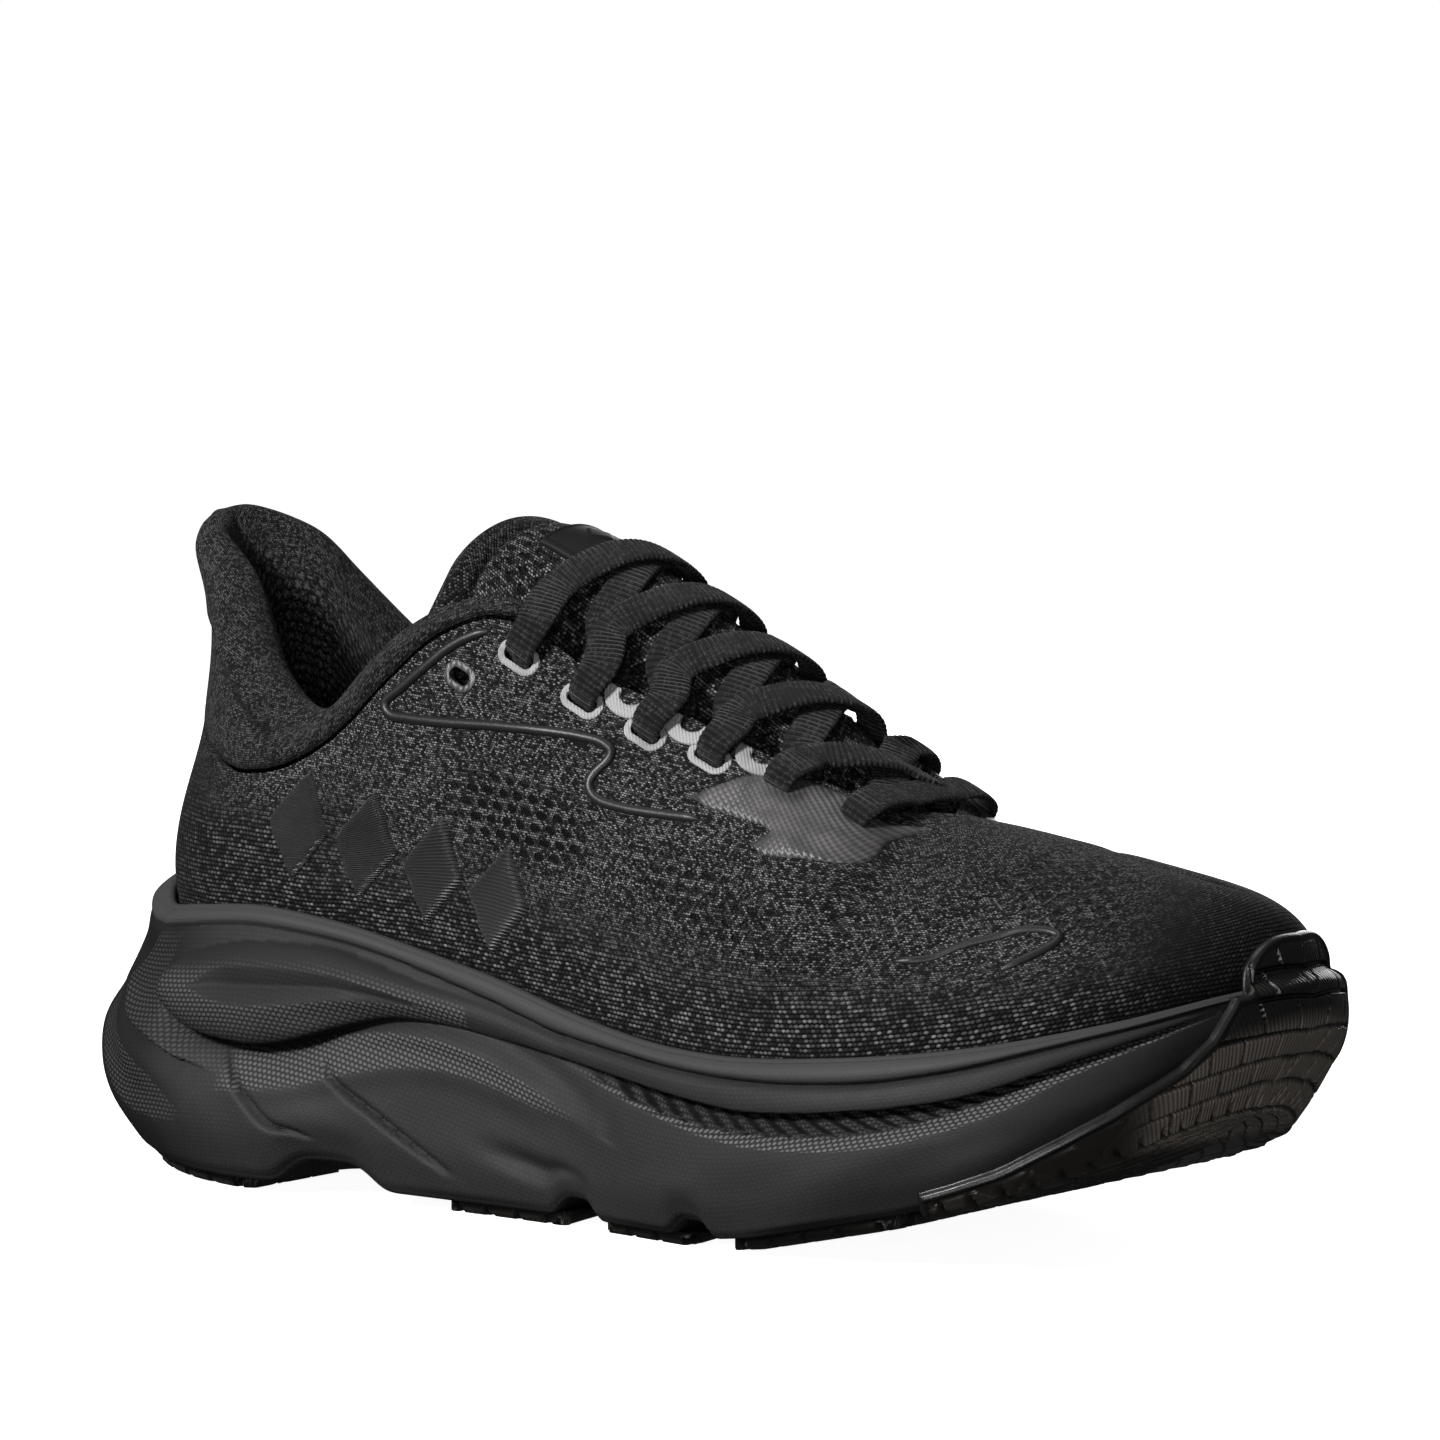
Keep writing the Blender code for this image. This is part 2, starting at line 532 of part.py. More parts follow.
def tongue_point(v, angle, lift=0.0):
    """A point on the tongue's outer face: v along it from 0 to 1, angle round it, lift straight out."""
    rows = np.array(TONGUE, float)
    at = np.linspace(0, 1, len(rows))

    def place(v, angle):
        x, z, _, half, drop = cubic(at, rows, np.array(v))
        ahead, behind = (cubic(at, rows[:, :2], np.clip(v + step, 0, 1)) for step in (0.01, -0.01))
        slope = ahead - behind
        slope /= np.linalg.norm(slope)
        down = np.array([slope[1], 0, -slope[0]]) * (-1 if slope[0] > 0 else 1)
        down = down if down[2] < 0 else -down
        middle = np.array([x, float(centre(x)) + half * math.sin(angle), z])
        return middle + down * drop * (1 - math.cos(angle))

    point = place(v, angle)
    if lift:
        around = place(v, angle + 0.02) - place(v, angle - 0.02)
        along = place(min(v + 0.02, 1), angle) - place(max(v - 0.02, 0), angle)
        normal = np.cross(around, along)
        normal /= np.linalg.norm(normal)
        point = point + (normal if normal[2] > 0 else -normal) * lift
    return point


def tongue_loops():
    rows = np.array(TONGUE, float)
    loops = []
    for v in np.concatenate([np.linspace(0, 0.97, 13), [1.0]]):
        thick = float(cubic(np.linspace(0, 1, len(rows)), rows[:, 2], np.array(v)))
        if v == 1.0:
            thick *= 0.6
        angles = np.linspace(-TONGUE_SPREAD, TONGUE_SPREAD, 9)
        thin = np.array([0.35 if abs(a) > 1 else 0.75 if abs(a) > 0.85 else 1 for a in angles])
        extra = thick * 0.2 if v == 1.0 else 0
        over = [tongue_point(v, a, -0.01 - extra) for a in angles]
        under = [tongue_point(v, a, -thick * t - extra) for a, t in zip(angles, thin)]
        loops.append(over + under[::-1])
    return loops


class Skin:
    """The upper's face as one mesh, to lay small pieces on."""

    def __init__(self):
        points, _, faces = joined(both_sides(np.arange(0, 11.01, 0.25), np.linspace(0, 1, 25)))
        self.tree = BVHTree.FromPolygons([Vector(p) for p in points], faces)

    def near(self, point):
        """The nearest point of the face and the direction straight out of it."""
        place, normal, _, _ = self.tree.find_nearest(Vector(point))
        place, normal = np.array(place), np.array(normal)
        away = place - np.array([place[0], float(centre(place[0])), 70 if place[0] < 100 else 60])
        return place, normal if normal @ away > 0 else -normal

    def from_side(self, x, z, sign):
        """The point of the face seen from one side at x and z."""
        place, _, _, _ = self.tree.ray_cast(Vector((x, sign * 120, z)), Vector((0, -sign, 0)))
        return np.array(place if place is not None else self.near((x, sign * 30, z))[0])


def laid(skin, loop_sections, low, high):
    """Closed sections laid on the upper: each a list of (point, height share)."""
    sections = []
    for section in loop_sections:
        row = []
        for point, share in section:
            place, normal = skin.near(point)
            row.append(place + normal * (low + (high - low) * share))
        sections.append(row)
    return sections


def eyelet_frame(skin, index, side):
    """Centre, outward normal, way along the row and way to the throat of one lace hole."""
    x, y, z = EYELETS[index]
    place, normal = skin.near((x, -side * y, z))
    row = np.array(THROAT_WAY) - normal * (normal @ np.array(THROAT_WAY))
    row /= np.linalg.norm(row)
    inward = np.cross(normal, row)
    inward = inward if inward[1] * side < 0 else -inward
    return place, normal, row, inward


def slot_outline(grow, count=12):
    """An oval round the slot: along the row and across it."""
    straight = (SLOT_LENGTH - SLOT_WIDTH) / 2
    radius = SLOT_WIDTH / 2 + grow
    out = []
    for i in range(count):
        angle = 2 * math.pi * (i + 0.5) / count
        end = math.copysign(straight, math.cos(angle))
        out.append((end + radius * math.cos(angle), radius * math.sin(angle)))
    return out


def ring_loops(skin, frame, high):
    place, normal, row, inward = frame
    sections = []
    for (a, b), (c, d) in zip(slot_outline(0.1), slot_outline(RING_WIDTH)):
        inner = place + row * a + inward * b
        outer = place + row * c + inward * d
        sections.append([(inner, 0), (outer, 0), (outer * 0.85 + inner * 0.15, 1),
                         (outer * 0.15 + inner * 0.85, 1)])
    return laid(skin, sections, GAP, high)


def ribbon(path, normals, width, thick, step=3.6):
    """Sections of a flat lace along a smooth path."""
    path, normals = np.array(path), np.array(normals)
    length = np.concatenate([[0], np.cumsum(np.linalg.norm(np.diff(path, axis=0), axis=1))])
    at = np.linspace(0, length[-1], max(int(length[-1] / step), 2))
    points = cubic(length, path, at)
    ways = cubic(length, normals, at)
    along = np.gradient(points, axis=0)
    along /= np.linalg.norm(along, axis=1, keepdims=True)
    across = np.cross(ways, along)
    across /= np.linalg.norm(across, axis=1, keepdims=True)
    ways = np.cross(along, across)
    half, high = width / 2, thick / 2
    shape = [(-half, -high), (half, -high), (half, high), (-half, high)]
    return [[p + a * u + w * v for u, v in shape] for p, a, w in zip(points, across, ways)]


def line_loops(skin, outline, sign):
    """A raised line over the upper, along points seen from the side."""
    knots = np.concatenate([[0], np.cumsum(np.linalg.norm(np.diff(np.array(outline), axis=0), axis=1))])
    seen = cubic(knots, outline, np.linspace(0, knots[-1], int(knots[-1] / 3.2)))
    points = np.array([skin.from_side(x, z, sign) for x, z in seen])
    along = np.gradient(points, axis=0)
    sections = []
    for i, (point, way) in enumerate(zip(points, along)):
        side = np.cross(skin.near(point)[1], way)
        side *= LINE_WIDTH / 2 / np.linalg.norm(side) * (0.5 if i in (0, len(points) - 1) else 1)
        sections.append([(point - side, 0), (point + side, 0),
                         (point + side * 0.5, 1), (point - side * 0.5, 1)])
    return laid(skin, sections, GAP, GAP + 0.8)


def diamond_loops(skin, x, z, sign):
    """A rounded diamond over the upper, in strips from rear to front."""
    sections = []
    for u in (-1, -0.65, -0.3, 0, 0.3, 0.65, 1):
        half = DIAMOND_HALF[1] * max(0.12, (1 - abs(u)**1.35))
        rows = np.linspace(-half, half, 4)
        slant = 0.22
        low = [skin.from_side(x + u * DIAMOND_HALF[0] + r * slant, z + r - u * 1.2, sign) for r in rows]
        sections.append([(p, 0) for p in low] + [(p, 1) for p in low[::-1]])
    return laid(skin, sections, GAP, GAP + 0.7)


def mark_loops(skin, station):
    """A U of film on the throat's edge, open towards the throat."""
    edge, normal = upper(station, 1), upper_normal(station, 1)
    row = upper(station + 0.05, 1) - upper(station - 0.05, 1)
    row /= np.linalg.norm(row)
    out = np.cross(row, normal)
    out = out if out @ (upper(station, 0.9) - edge) > 0 else -out
    middle = edge + out * 0.8
    sections = []
    for a in np.radians(np.linspace(-92, 92, 11)):
        way = out * math.cos(a) + row * math.sin(a)
        sections.append([(middle + way * MARK_RADIUS, 0), (middle + way * (MARK_RADIUS + MARK_WIDTH), 0),
                         (middle + way * (MARK_RADIUS + MARK_WIDTH), 1), (middle + way * MARK_RADIUS, 1)])
    return laid(skin, sections, GAP, GAP + 0.35)


def film_patch(side):
    """The film beside the base of the throat, on one side."""
    rows = np.array(FILM)
    stations = np.linspace(rows[0, 0], rows[-1, 0], 9)
    low, high = (np.interp(stations, rows[:, 0], rows[:, i]) for i in (1, 2))
    s = np.repeat((stations if side < 0 else ROUND - stations)[:, None], 7, axis=1)
    t = low[:, None] + (high - low)[:, None] * np.linspace(0, 1, 7)
    faces = [(i * 7 + j, (i + 1) * 7 + j, (i + 1) * 7 + j + 1, i * 7 + j + 1)
             for i in range(8) for j in range(6)]
    if side > 0:
        faces = [face[::-1] for face in faces]
    return upper(s, t).reshape(-1, 3), upper_normal(s, t).reshape(-1, 3), faces


def tip_loops(side):
    """The moulded sleeve that carries on from the end of the lace, behind the upper."""
    sections = []
    for u in np.linspace(0, 1, 5):
        station, share = 5.2 + 0.05 * u, 0.325 - 0.18 * u
        station = station if side < 0 else ROUND - station
        normal = upper_normal(station, share)
        point = upper(station, share) - normal * 4.8
        down = upper(station, share - 0.05) - upper(station, share)
        across = np.cross(normal, down)
        across /= np.linalg.norm(across)
        narrow = 1 - 0.2 * u
        sections.append([point + across * AGLET_HALF_WIDTH * narrow * math.cos(a)
                         + normal * AGLET_HALF_THICK * narrow * math.sin(a)
                         for a in np.linspace(0, 2 * math.pi, 9)[:-1]])
    return sections


class Lace:
    """Half of the lace, from the middle of the lowest bar to one end: points, and where its face looks."""

    def __init__(self, skin, side):
        self.skin, self.path, self.ways = skin, [], []
        self.above = GAP + 0.6 + GAP + LACE_THICK / 2 + 0.5
        self.below = -(UPPER_THICK + GAP + LACE_THICK / 2 + 1.1)
        self.low, self.high = GAP + LACE_THICK / 2 + 0.2, GAP + LACE_THICK * 1.5 + 0.8
        frame = eyelet_frame(skin, 0, side)
        middle = tongue_v(EYELETS[0][0] + 1)
        for angle in (0, 0.12, 0.24):
            self.on_tongue(middle, angle * side, self.high + 0.8 + 3 * angle)
        self.onto(0, side)
        here = side
        for k in range(LACED - 1):
            self.turn(frame)
            over = (k + (side < 0)) % 2 == 0
            self.cross(k, here, over)
            here = -here
            frame = eyelet_frame(skin, k + 1, here)
        self.tail(frame, here)
        self.end_side = here

    def add(self, point, way):
        self.path.append(np.array(point))
        self.ways.append(np.array(way) / np.linalg.norm(way))

    def on_tongue(self, v, angle, lift):
        point = tongue_point(v, angle, lift)
        self.add(point, tongue_point(v, angle, lift + 1) - point)

    def onto(self, index, side, under=False):
        """Past the edge of the throat beside one hole, above it or under it."""
        place, _, _, inward = eyelet_frame(self.skin, index, side)
        stations = np.arange(4.6, THROAT_END, 0.02)
        stations = stations if side < 0 else ROUND - stations
        away = top_edge(stations) - place
        apart = away - (away @ inward)[:, None] * inward
        station = stations[np.linalg.norm(apart, axis=1).argmin()]
        normal = upper_normal(station, 1)
        edge = upper(station, 1)
        self.add(edge + normal * (self.below if under else self.above + 0.3), -normal if under else normal)

    def turn(self, frame, angles=(90, 60, 35, 10, -10, -35, -60, -90)):
        """Down through the hole and back under the strip between the hole and the throat."""
        place, normal, _, inward = frame
        middle, radius = (self.above + self.below) / 2, (self.above - self.below) / 2
        for a in np.radians(angles):
            across, high = 3.15 - radius * math.cos(a), middle + radius * math.sin(a)
            self.add(place + inward * across + normal * high, normal * math.sin(a) - inward * math.cos(a))

    def cross(self, index, here, over):
        """Over the tongue, from under the edge beside a hole to above the edge beside the next hole opposite.
        The lace's flat faces have turned over."""
        self.onto(index, here, under=True)
        middle = self.high if over else self.low
        for u, lift in ((-0.72, self.low), (-0.5, middle), (-0.25, middle), (0, middle), (0.25, middle),
                        (0.5, self.high), (0.74, self.high + 0.2)):
            x = EYELETS[index][0] * (1 - u) / 2 + EYELETS[index + 1][0] * (1 + u) / 2 + 2
            angle = THROAT_ANGLES[index if u < 0 else index + 1]
            if index == 0 and u < -0.4:
                lift += 0.7
            self.on_tongue(tongue_v(x), -u * angle * here, lift)
            self.ways[-1] *= -1
        self.onto(index + 1, -here)
        self.ways[-1] *= -1

    def tail(self, frame, here):
        """Through the top hole and down behind the upper."""
        place, normal, _, inward = frame
        self.turn(frame, (90, 60, 35))
        self.add(place + inward * 0.5 - normal * 1.0, normal * 0.2 - inward)
        self.add(place - inward * 1.0 - normal * 3.8, normal - inward * 0.8)
        self.add(place - inward * 4.0 - normal * 4.9, normal)
        for u in (0.4, 0.7, 1):
            station, share = 5.0 + 0.2 * u, 0.74 - 0.4 * u
            station = station if here < 0 else ROUND - station
            normal = upper_normal(station, share)
            self.add(upper(station, share) - normal * 4.8, normal)


def tongue_v(x):
    rows = np.array(TONGUE, float)
    return float(np.interp(-x, -rows[:, 0], np.linspace(0, 1, len(rows))))


def cutter(name, points, faces, targets, collection):
    """A shape taken out of bodies by Booleans."""
    made = body(name, points, faces, "board", collection)
    made.hide_render = True
    made.display_type = "WIRE"
    for target in targets:
        cut = target.modifiers.new(name, "BOOLEAN")
        cut.object = made
        cut.operation = "DIFFERENCE"
        cut.solver = "EXACT"


def build():
    for old in list(bpy.data.objects):
        bpy.data.objects.remove(old, do_unlink=True)
    scene = bpy.context.scene
    scene.unit_settings.scale_length = 1.0
    shoe = bpy.data.collections.new("running_shoe")
    tools = bpy.data.collections.new("cutters")
    scene.collection.children.link(shoe)
    scene.collection.children.link(tools)

    # Sole unit
    body("midsole_foam", *loft(sole_loops(), cap=False), "foam", shoe)
    for name, (start, end, left, right) in RUBBER_PODS.items():
        body(name, *loft(pod_loops(start, end, left, right)), "outsole_rubber", shoe)
    body("outsole_toe_wrap", *layer(*toe_rubber_faces(), 1.7, 0), "outsole_rubber", shoe)

    # Foot bed
    inside = np.concatenate([[0, 0.25, 0.6], np.arange(1, 10, 0.5), [10, 10.5, 10.8, 11]])
    body("strobel_board", *loft(plate_loops(inside, UPPER_THICK + GAP, GAP, GAP + BOARD_THICK), cap=False),
         "board", shoe)
    low = 2 * GAP + BOARD_THICK
    body("sockliner", *loft(plate_loops(inside, UPPER_THICK + 3.4, low, low + SOCKLINER_THICK), cap=False),
         "sockliner", shoe, origin=SOCKLINER_AXIS)

    # Upper
    stations = np.unique(np.round(np.concatenate([np.arange(0, 11.01, 0.42), [6.82, 7, 11]]), 4))
    shares = [-1, -0.5, 0, 0.18, 0.4, 0.62, 0.82, 1]
    knit = body("upper_knit", *layer(*both_sides(stations, shares), 0, -UPPER_THICK), "knit", shoe)
    inner = -UPPER_THICK - 2.2 * GAP
    ring = np.concatenate([ROUND - np.arange(0.35, 2.7, 0.35)[::-1], np.arange(ROUND, ROUND + 2.7, 0.35)])
    body("heel_counter", *layer(*patch(ring, [-0.85, -0.5, -0.1, 0.2, 0.45]), inner, inner - COUNTER_THICK),
         "counter", shoe)
    toe = np.arange(9.4, 12.61, 0.4)
    body("toe_puff", *layer(*patch(toe, [-0.8, -0.3, 0, 0.3, 0.6, 0.8]), inner, inner - 0.8), "counter", shoe)
    lining, foam = [], []
    turn = np.concatenate([np.arange(0, 4.3, 0.35), [4.24, COLLAR_END]])
    for s in np.concatenate([ROUND - turn[:0:-1], turn]):
        path, normal = collar_path(s, -1)
        lining.append(list(path) + list(inset_path(path, normal, 1.0)[::-1]))
        pad = inset_path(path, normal, 2.35)[2:11]
        back = [upper(s, share) - upper_normal(s, share) * (LINING_DEPTH + 0.6) for share in (0.62, 0.8, 0.9)]
        if TIP - abs((s % ROUND) - TIP) < 4.25:
            foam.append(list(pad) + back)
    body("collar_lining", *loft(lining), "lining", shoe)
    body("collar_foam", *loft(foam), "foam", shoe)
    body("tongue", *loft(tongue_loops()), "knit", shoe, origin=TONGUE_AXIS)
    label = [[tongue_point(v, a, lift) for a, lift in [(a, 0.3) for a in np.linspace(-0.42, 0.42, 5)]
              + [(a, 0.9) for a in np.linspace(0.40, -0.40, 5)]] for v in np.linspace(0.762, 0.866, 4)]
    body("tongue_label", *loft(label), "film_black", shoe, origin=TONGUE_AXIS)

    # Pieces laid on the upper
    skin = Skin()
    holes = []
    for side, word in ((-1, "lateral"), (1, "medial")):
        for index in range(len(EYELETS)):
            frame = eyelet_frame(skin, index, side)
            label = "spare" if index == LACED else str(index + 1)
            if index >= RINGS_FROM:
                body(f"eyelet_ring_{word}_{label}", *loft(ring_loops(skin, frame, GAP + 0.6), ring=True),
                     "film_grey", shoe)
            place, normal, row, inward = frame
            holes.append([[place + row * a + inward * b + normal * d for a, b in slot_outline(0.05)]
                          for d in (-7, 7)])
    points, faces, count, targets = [], [], 0, [knit]
    for sections in holes:
        p, f = loft(sections)
        points.append(p)
        faces += [tuple(i + count for i in face) for face in f]
        count += len(p)
    for side, word in ((-1, "lateral"), (1, "medial")):
        film = layer(*film_patch(side), GAP + 0.4, GAP)
        targets.append(body(f"throat_film_{word}", *film, "film_grey", shoe))
        for i, station in enumerate(MARK_STATIONS):
            station = station if side < 0 else ROUND - station
            body(f"throat_mark_{word}_{i + 1}", *loft(mark_loops(skin, station)), "film_grey", shoe)
        body(f"quarter_line_{word}", *loft(line_loops(skin, QUARTER_LINE, side)), "film_black", shoe)
        body(f"toe_line_{word}", *loft(line_loops(skin, TOE_LINE, side)), "film_black", shoe)
        for i, (x, z) in enumerate(DIAMONDS):
            body(f"side_diamond_{word}_{i + 1}", *loft(diamond_loops(skin, x, z, side)), "film_black", shoe)
    cutter("lace_holes", np.concatenate(points), faces, targets, tools)

    lateral, medial = Lace(skin, -1), Lace(skin, 1)
    path = medial.path[:0:-1] + lateral.path
    ways = [-w for w in medial.ways[:0:-1]] + lateral.ways
    body("lace", *loft(ribbon(path, ways, LACE_WIDTH, LACE_THICK)), "lace", shoe)
    for side, word in ((-1, "lateral"), (1, "medial")):
        body(f"lace_tip_{word}", *loft(tip_loops(side)), "aglet", shoe)


build()
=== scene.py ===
"""The running shoe's looks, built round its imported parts.

They are a knit upper, sculpted foam, ribbed rubber, padded collar, tongue and sockliner, and a woven lace.

The toe points to +X, the outer (lateral) side is -Y, and the shoe stands on Z = 0.
Tables are in millimetres, and the meshes are in metres. Positions round the shoe are "stations": 0 is the
middle of the heel, 11 the tip of the toe, 0 to 11 the lateral side and 11 to 22 the medial side, back to the
heel.
"""

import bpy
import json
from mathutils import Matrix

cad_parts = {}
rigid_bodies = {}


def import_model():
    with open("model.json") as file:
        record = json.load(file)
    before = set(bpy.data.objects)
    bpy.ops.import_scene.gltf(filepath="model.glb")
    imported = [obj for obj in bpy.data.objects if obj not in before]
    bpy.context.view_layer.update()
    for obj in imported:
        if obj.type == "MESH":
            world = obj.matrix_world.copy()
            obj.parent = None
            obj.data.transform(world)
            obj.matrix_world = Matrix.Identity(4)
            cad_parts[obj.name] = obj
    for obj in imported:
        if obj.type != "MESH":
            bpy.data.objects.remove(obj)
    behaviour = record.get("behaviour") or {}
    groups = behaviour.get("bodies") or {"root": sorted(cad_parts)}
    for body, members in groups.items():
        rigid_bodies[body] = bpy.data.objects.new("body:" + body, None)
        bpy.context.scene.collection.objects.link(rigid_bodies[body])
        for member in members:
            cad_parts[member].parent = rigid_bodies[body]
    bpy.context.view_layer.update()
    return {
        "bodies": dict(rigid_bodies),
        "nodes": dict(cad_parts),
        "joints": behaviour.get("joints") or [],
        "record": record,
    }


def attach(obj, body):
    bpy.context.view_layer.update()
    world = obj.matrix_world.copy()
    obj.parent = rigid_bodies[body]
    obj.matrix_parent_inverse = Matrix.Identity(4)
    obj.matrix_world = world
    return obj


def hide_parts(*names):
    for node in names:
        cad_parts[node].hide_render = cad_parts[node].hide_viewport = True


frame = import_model()

import json
import math

import bmesh
import bpy
import numpy as np
from mathutils import Vector
from mathutils.bvhtree import BVHTree
from mathutils.geometry import delaunay_2d_cdt

MM = 0.001
ROUND = 22                 # stations in one turn of the shoe
TIP = ROUND / 2
GAP = 0.35                 # between touching pieces
UPPER_THICK = 2.0
RUBBER_THICK = 2.4
COUNTER_THICK = 1.0
BOARD_THICK = 1.2
SOCKLINER_THICK = 4.5
LINING_DEPTH = UPPER_THICK + COUNTER_THICK + 2.6 * GAP   # from the upper's outside to the collar's outer face
CENTRED = np.array([3.64, -0.92, 0])     # moves the middle of the shoe's box over the origin
LACE_THICK = 1.5
AGLET_HALF_WIDTH = 1.5
AGLET_HALF_THICK = 1.1

# Where the upper meets the sole, seen from above: x, y for each station.
FEATHER = [
    (-132, 0), (-127, -19), (-113, -31), (-85, -36), (-45, -36.5), (0, -41), (40, -48), (72, -50.5),
    (100, -44.5), (122, -30), (135, -10), (139, 11.5), (132.5, 31), (117, 42.5), (90, 49.5), (60, 51),
    (25, 45), (-15, 36.5), (-50, 33), (-88, 35), (-114, 30), (-128, 17),
]
# station, height of the midsole's rim
RIM = [
    (0, 65), (1, 62.5), (1.7, 58.5), (2.3, 59.5), (3, 60.5), (3.5, 58.5), (4, 54.5), (4.5, 50),
    (5, 44.5), (5.6, 40.5), (6, 39.7), (7, 41.5), (8, 45), (9, 50), (10, 54.5), (11, 56), (12, 54.5),
    (13, 50), (14, 45), (15, 42), (16, 40.5), (16.8, 44.5), (17.5, 50), (18, 54.5), (19, 60.5),
    (20, 59.5), (20.5, 58.8), (21, 62.5),
]
# x, height of the ground side and of the foam floor under the foot
BASE = [(-156, 19), (-146, 9.5), (-138, 5), (-125, 2), (-108, 0.5), (-96, 0), (40, 0), (52, 1.6),
        (64, 4.2), (76, 6.8), (88, 9.4), (100, 12.4), (110, 15.6), (118, 19.2), (125, 23.4), (131, 28.5),
        (138, 36), (150, 46)]
FLOOR = [(-135, 37), (-100, 35.5), (-50, 33.5), (0, 30), (40, 27.5), (60, 27.5), (80, 29.5), (100, 33),
         (120, 38), (142, 43.5)]
# The sole's side: how far down from rim to ground each line runs, and how far outside the feather line it is.
SIDE_LEVELS = (0.05, 0.2, 0.4, 0.6, 0.8, 1.0)
SIDE = [
    # station, outward at each level
    (0, 5, 8, 14, 20, 18, 6.5), (1, 5, 7.5, 12.5, 17.5, 16, 6), (2, 4, 6, 9.5, 13.5, 13.5, 7.5),
    (3, 3.5, 5, 7, 9.5, 11, 7.5), (4, 3, 3.5, 4.5, 6, 7, 4.5), (5, 3, 3, 3.5, 4.5, 5, 3),
    (6, 3.5, 4, 5, 6, 6, 3.5), (7, 3.5, 4.5, 6, 7, 6.5, 4), (8, 3.5, 4.5, 6, 7, 7, 4),
    (9, 3.5, 4.5, 5.5, 5.8, 3.6, -0.8), (10, 3, 3.4, 3.8, 3.2, -0.4, -7),
    (11, 2.4, 2.4, 2.6, 1.6, -2.4, -10),
]
# The shoe's centre line seen from above: x, y
CENTRE = [(-160, 0), (55, 0), (70, 1.5), (85, 4), (103, 8), (121, 12), (160, 14)]
# The upper's top edge, under the collar's lower seam and along the throat; over the toe it is the line where
# the two sides meet.  station, x, distance from the centre line, z
TOP = [
    (0, -127.5, 0, 112), (0.6, -125.5, 9, 106), (1.2, -120, 19, 97.5), (2, -107, 29, 90.5),
    (2.6, -95, 33.5, 88.5), (3.1, -81, 35.5, 91), (3.6, -67, 35, 99), (4, -55, 34, 110),
    (4.3, -44, 32, 119), (4.6, -31, 29, 123.5), (4.82, -22, 27.5, 121.5), (5.1, -9, 26, 114),
    (5.5, 10, 24, 107), (6, 32, 21.5, 98.5), (6.5, 49, 17, 91.5), (6.82, 59.5, 10, 87),
    (7, 65, 0, 85.8), (7.5, 76, 0, 83.8), (8, 86, 0, 81.8), (9, 103, 0, 78), (10, 115.5, 0, 75),
    (11, 121, 0, 73.5),
]
THROAT_END = 7             # from this station on, the two sides of the upper meet
# Handles of the curve that rises from the rim to that edge: up and out at the rim, down and out at the edge.
HANDLES = [
    (0, 18, 3, 16, 0.5), (1, 14, 3, 12, 1.5), (2, 10, 2.5, 9, 3), (3, 10, 2.5, 10, 2.5),
    (4, 22, 3, 20, 2.5), (5, 26, 3, 16, 8), (6, 22, 2.5, 8, 13), (7, 17, 2, 1.5, 26),
    (8, 14, 2, 0.5, 24), (9, 13, 2, 0.5, 18), (10, 12, 1.5, 0.2, 12), (11, 11, 1.5, 0, 9.5),
]
# The collar's ridge, from the heel tab to the top of the throat: station, x, distance from the centre line,
# z, outward bulge below it, pad thickness.
RIDGE = [
    (0, -135.5, 0, 143.3, -3, 8.5), (0.6, -131.5, 8, 140, -2.5, 8.5), (1.2, -118.5, 15.5, 132, -1, 9),
    (1.8, -108.5, 21.5, 121.5, 1, 9.5), (2.4, -96.5, 27, 110.5, 2, 9.5), (2.9, -84, 29.5, 103, 2.5, 9),
    (3.2, -76, 31, 103.5, 2, 8), (3.6, -65, 31.5, 112.5, 1.5, 6), (4, -54, 31, 121, 1.2, 4.2),
    (4.3, -43, 29.5, 126.3, 1, 3.6), (4.6, -31, 27.5, 128, 1, 3.2), (4.76, -24.5, 26.5, 126.5, 0.8, 3),
    (5, -14, 25.5, 119.5, 0.5, 2.6),
]
# How much higher the ridge lies on the medial side
RIDGE_LIFT = [(0, 0), (0.6, 4), (1.2, 7), (1.8, 8), (2.4, 7), (2.9, 4), (3.2, 2), (3.6, 0), (11, 0)]
# The tongue's centre line, along its outer face: x, z, thickness, half width, how far its sides would drop at
# 90 degrees
TONGUE = [(76, 78.4, 2.4, 20, 16), (69, 80.9, 2.8, 22, 20), (62.5, 82.2, 3.2, 23.5, 25),
          (55.5, 86.8, 3.6, 24.5, 30), (47, 94.6, 4.2, 25, 35), (38, 102.8, 4.6, 25, 38),
          (26, 110.5, 4.8, 25.5, 42), (12, 119.5, 5, 25.5, 46), (0, 127, 5.2, 25.5, 48),
          (-10, 132.5, 5.6, 25.5, 47), (-20, 137, 6, 25.5, 41), (-30, 140.3, 6.6, 25.5, 30),
          (-40, 142, 7, 25.5, 20), (-50, 141.4, 6.6, 25.5, 14)]
TONGUE_SPREAD = math.radians(62)
# The holes for the lace: x, y, z near the upper's face; the last pair, at the top, is left empty.
EYELETS = [(54.5, -21.5, 82.6), (38.5, -23.5, 89), (23, -25.5, 95.4), (8, -27.5, 100.8),
           (-7.5, -29.5, 107.6), (-23.5, -30.5, 116), (-37, -32.5, 111.4)]
LACED = len(EYELETS) - 1
RINGS_FROM = 2             # the film carries the lowest holes
# Round the tongue, where the throat's edge lies over it
THROAT_ANGLES = (0.46, 0.68, 0.76, 0.84, 0.88, 0.88)
MARK_STATIONS = (5.35, 5.66, 6.05)   # U-shaped film marks on the throat's edge, between the holes
MARK_RADIUS = 2.5
